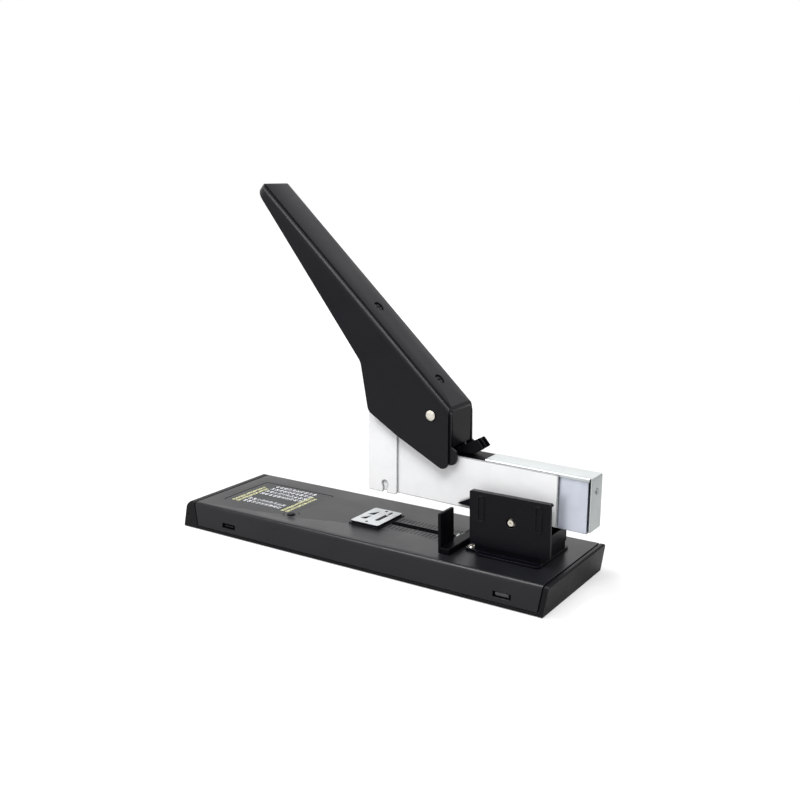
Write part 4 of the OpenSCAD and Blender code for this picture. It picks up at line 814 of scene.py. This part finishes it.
def anvilSinks(x, y, sizes):
    # each groove sinks by deep * the root of 1 - (distance from its middle line / half width) ^ 2,
    # and a wedge is one whose half width falls to its tip's towards its far end
    sink = 0 * x
    for across, low, high, half in sizes["grooves"]:
        reach = np.hypot(x - across, np.maximum(0, np.maximum(low - y, y - high)))
        sink = np.maximum(sink, np.sqrt(np.clip(1 - (reach / half) ** 2, 0, 1)))
    for across, low, high, half in sizes["wedges"]:
        share = np.clip((y - low) / (high - low), 0, 1)
        width = half * (1 - share) + sizes["tip"]
        off = np.hypot((x - across - half * share) / width, np.maximum(0, low - y) / sizes["heel"])
        inside = (y < high) * np.sqrt(np.clip(1 - off ** 2, 0, 1))
        sink = np.maximum(sink, inside)
    return sizes["deep"] * sink


def makeAnvilFace(sizes):
    # a flat grid, its corners rounded by shortening the rows near both ends, its rim eased down by
    # rimFall * (1 - distance from the rim / rim) ^ 2; the last rows drop to the foot and close it
    low, high = (np.array(corner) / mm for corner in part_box("anvil_plate"))
    half = (high - low) / 2
    x = np.linspace(-half[0], half[0], sizes["columns"])[:, None]
    y = np.linspace(-half[1], half[1], sizes["rows"])[None, :]
    corner = sizes["corner"]
    over = np.maximum(np.abs(x) - half[0] + corner, 0)
    reach = half[1] - corner + np.sqrt(corner ** 2 - over ** 2)
    x, y = x + 0 * y, y * reach / half[1]
    inset = np.minimum(half[0] - np.abs(x), reach - np.abs(y))
    fall = sizes["rimFall"] * np.clip(1 - inset / sizes["rim"], 0, 1) ** 2
    z = high[2] - anvilSinks(x, y, sizes) - fall
    grid = np.stack([x, y, z], -1)
    for height, share in ((low[2], 1.0), (low[2], 0.0)):
        grid = np.pad(grid, ((1, 1), (1, 1), (0, 0)), "edge")
        for ring in (grid[0], grid[-1], grid[:, 0], grid[:, -1]):
            ring[..., :2] *= share
            ring[..., 2] = height
    middle = Matrix.Translation(Vector(((low[0] + high[0]) / 2, (low[1] + high[1]) / 2, 0)) * mm)
    addPiece("anvilFace", asPoints(grid, middle), openFaces(*grid.shape[:2]), "base", "anvil_steel",
             ["anvil_plate"], turnOut=False)


makeAnvilFace(anvilFace)


# Clips of the tray that show in the base's right windows, near side and far side

trayClip = {"x": 111.0, "side": 40.05, "z": 8.1, "length": 9.0, "height": 2.2, "bulge": 0.6, "steps": 33}


def makeTrayClips(sizes):
    # a pillow: bulge * (1 - (x share) ^ 8) ^ 0.5 * (1 - (z share) ^ 4) ^ 0.5, closed by a flat back
    share = np.sin(np.linspace(-1, 1, sizes["steps"]) * np.pi / 2)
    u, v = np.meshgrid(share, share, indexing="ij")
    rise = sizes["bulge"] * np.sqrt(np.clip(1 - u ** 8, 0, 1)) * np.sqrt(np.clip(1 - v ** 4, 0, 1))
    quads, sheets = openFaces(sizes["steps"], sizes["steps"]), []
    for side in (-1, 1):
        front = np.stack([u * sizes["length"] / 2, side * rise, v * sizes["height"] / 2], -1)
        back = front * np.array([1, 0, 1])
        place = Matrix.Translation(Vector((sizes["x"], side * sizes["side"], sizes["z"])) * mm)
        sheets += [(asPoints(sheet, place), quads) for sheet in (front, back)]
    points, faces = joinedUp(sheets)
    clips = addPiece("trayClips", points, faces, "base", "base_plastic")
    clips.data.materials[0] = finishes["clipPlastic"]


makeTrayClips(trayClip)
print("stage: anvil face and clips")


# Size chart: plain numbers in rows, each row across the base

chartPrint = {
    "firstRow": -108.6, "rowPitch": 3.9, "rows": 10, "letter": 3.7, "bold": 0.11, "spacing": 1.05,
    "nearColumn": -18.4, "pairGap": 5.4, "farColumns": (0.0, 5.6, 11.2, 16.8), "lift": 0.05,
    "firstLeg": 6, "legStep": 2, "firstSheets": 20, "rowStep": 22, "columnStep": 7,
    "headings": (-117.2, -113.0, -71.2, -67.0), "headingSize": 3.45, "headingStart": -20.6,
    "headingLengths": (19, 18),
}


def chartText(words, x, y, size):
    # a line of plain lettering, turned to a mesh and placed: its right is +Y and its up is -X
    curve = bpy.data.curves.new("chartWords", "FONT")
    curve.body = words
    curve.size = size
    curve.space_character = chartPrint["spacing"]
    curve.resolution_u = 2
    curve.offset = chartPrint["bold"]
    holder = bpy.data.objects.new("chartWords", curve)
    bpy.context.scene.collection.objects.link(holder)
    bpy.context.view_layer.update()
    mesh = bpy.data.meshes.new_from_object(holder.evaluated_get(bpy.context.evaluated_depsgraph_get()))
    flat = np.empty(3 * len(mesh.vertices))
    mesh.vertices.foreach_get("co", flat)
    flat = flat.reshape(-1, 3)
    polygons = [list(face.vertices) for face in mesh.polygons]
    bpy.data.objects.remove(holder)
    bpy.data.curves.remove(curve)
    bpy.data.meshes.remove(mesh)
    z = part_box("size_chart")[1][2] / mm + chartPrint["lift"]
    return np.stack([x - flat[:, 1], y + flat[:, 0], z + 0 * flat[:, 0]], 1) * mm, polygons


def addPrint(name, lines, finish):
    # all lines of one ink as one piece
    points, polygons, count = [], [], 0
    for words, x, y, size in lines:
        placed, faces = chartText(words, x, y, size)
        points.append(placed)
        polygons += [[count + i for i in face] for face in faces]
        count += len(placed)
    mesh = bpy.data.meshes.new(name)
    mesh.from_pydata(np.concatenate(points).tolist(), [], polygons)
    mesh.materials.append(finishes[finish])
    piece = bpy.data.objects.new(name, mesh)
    bpy.context.scene.collection.objects.link(piece)
    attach(piece, "base")


def chartLines(sizes):
    # leg lengths in the near column, and numbers of sheets from and to in the far columns
    white = []
    for row in range(sizes["rows"]):
        x = sizes["firstRow"] + row * sizes["rowPitch"]
        leg = sizes["firstLeg"] + sizes["legStep"] * row
        if row < sizes["rows"] - 1:
            white.append((f"{leg:02d}", x, sizes["nearColumn"], sizes["letter"]))
            white.append((f"{leg + 1:02d}", x, sizes["nearColumn"] + sizes["pairGap"], sizes["letter"]))
        for column, y in enumerate(sizes["farColumns"]):
            sheets = sizes["firstSheets"] + sizes["rowStep"] * row + sizes["columnStep"] * column
            white.append((f"{sheets:03d}"[-2:], x, y, sizes["letter"]))
    yellow = []
    for n, x in enumerate(sizes["headings"]):
        digits = "".join(str((3 * i + 5 * n) % 10) for i in range(sizes["headingLengths"][n % 2]))
        yellow.append((digits, x, sizes["headingStart"], sizes["headingSize"]))
    return white, yellow


whiteLines, yellowLines = chartLines(chartPrint)
addPrint("chartNumbers", whiteLines, "chartWhite")
addPrint("chartHeadings", yellowLines, "chartYellow")
print("stage: size chart")


# Stage: floor, world and lamps

lightLevels = {
    "sky": 0.62,  # ambient light on the object
    "zenith": 0.08,  # what polished faces see overhead
    "zenithSpan": (0.45, 0.85),  # from which height to which it comes in
    "shade": 0.8,  # share of it that they see to the right, where nothing lights the scene
    "shadeSpan": (0.0, 0.45),
}
softLamps = {
    "keyLamp": {"place": (0.32, -0.62, 1.12), "size": (0.9, 0.35), "watts": 12.0},  # over the camera
    "sideLamp": {"place": (-0.40, -0.30, 0.96), "size": (0.55, 0.4), "watts": 8.0},  # over the nose
    "backLamp": {"place": (0.1, 1.1, 0.85), "size": (1.6, 0.6), "watts": 1.3},  # behind the base
}
lampAim = (0.0, 0.0, 0.08)
floorLook = {"color": 0.45, "rough": 0.9, "nearSeen": 0.48, "farSeen": 0.85, "nearGloss": 0.0,
             "farGloss": 0.05, "nearEdge": 0.35, "farEdge": 1.1, "half": 6.0}


def makeFloor(look):
    # a wide sheet that the camera and polished faces see paler the farther it lies from the object
    half = look["half"]
    mesh = bpy.data.meshes.new("floor")
    corners = [(-half, -half, 0), (half, -half, 0), (half, half, 0), (-half, half, 0)]
    mesh.from_pydata(corners, [], [(0, 1, 2, 3)])
    floor = bpy.data.objects.new("floor", mesh)
    bpy.context.scene.collection.objects.link(floor)
    material, tree, shader = newMaterial("paleFloor", (look["color"],) * 3, Roughness=look["rough"],
                                         Specular_IOR_Level=0.0)
    shader.inputs["Emission Color"].default_value = (1, 1, 1, 1)
    path = addNode(tree, "ShaderNodeLightPath").outputs
    away = addNode(tree, "ShaderNodeVectorMath", {"operation": "LENGTH"}, i0=objectPlace(tree))
    fade = spanOf(tree, away.outputs["Value"], look["nearEdge"], look["farEdge"], look["nearGloss"],
                  look["farGloss"], True)
    gloss = mathOf(tree, "MULTIPLY", path["Is Glossy Ray"], fade)
    shown = spanOf(tree, away.outputs["Value"], look["nearEdge"], look["farEdge"], look["nearSeen"],
                   look["farSeen"], True)
    seen = mathOf(tree, "MULTIPLY", path["Is Camera Ray"], shown)
    plug(tree, shader, Emission_Strength=mathOf(tree, "ADD", gloss, seen))
    mesh.materials.append(material)


def makeWorld(levels):
    # an even sky, white to the camera, that polished faces see darker overhead and to the right
    world = bpy.data.worlds.new("world")
    bpy.context.scene.world = world
    world.use_nodes = True
    tree = world.node_tree
    tree.nodes.clear()
    way = addNode(tree, "ShaderNodeTexCoord").outputs["Generated"]
    ways = addNode(tree, "ShaderNodeSeparateXYZ", Vector=way).outputs
    path = addNode(tree, "ShaderNodeLightPath").outputs
    above = spanOf(tree, ways["Z"], *levels["zenithSpan"], 0.0, 1.0, True)
    dimmed = mathOf(tree, "MULTIPLY", path["Is Glossy Ray"], above)
    shaded = spanOf(tree, ways["X"], *levels["shadeSpan"], 0.0, levels["shade"], True)
    dimmed = mathOf(tree, "MAXIMUM", dimmed, mathOf(tree, "MULTIPLY", path["Is Glossy Ray"], shaded))
    seenColor = mixOf(tree, dimmed, (1.0, 1.0, 1.0), (levels["zenith"],) * 3)
    seenSky = addNode(tree, "ShaderNodeBackground", Color=seenColor, Strength=1.0).outputs[0]
    lit = addNode(tree, "ShaderNodeBackground", Color=(1, 1, 1, 1), Strength=levels["sky"]).outputs[0]
    seen = mathOf(tree, "ADD", path["Is Camera Ray"], path["Is Glossy Ray"], True)
    seen = mathOf(tree, "ADD", seen, path["Is Transmission Ray"], True)
    mixed = addNode(tree, "ShaderNodeMixShader", i0=seen, i1=lit, i2=seenSky).outputs[0]
    addNode(tree, "ShaderNodeOutputWorld", Surface=mixed)


def addLamp(name, look, aim):
    # a soft rectangle of light, turned to its aim and hidden from the camera
    lamp = bpy.data.lights.new(name, "AREA")
    lamp.shape = "RECTANGLE"
    lamp.size, lamp.size_y = look["size"]
    lamp.energy = look["watts"]
    holder = bpy.data.objects.new(name, lamp)
    bpy.context.scene.collection.objects.link(holder)
    holder.location = look["place"]
    way = Vector(aim) - Vector(look["place"])
    holder.rotation_euler = way.to_track_quat("-Z", "Y").to_euler()
    holder.visible_camera = False


makeFloor(floorLook)
makeWorld(lightLevels)
for name, look in softLamps.items():
    addLamp(name, look, lampAim)
bpy.context.scene.view_settings.view_transform = "Standard"
print("stage: floor, world and lamps")
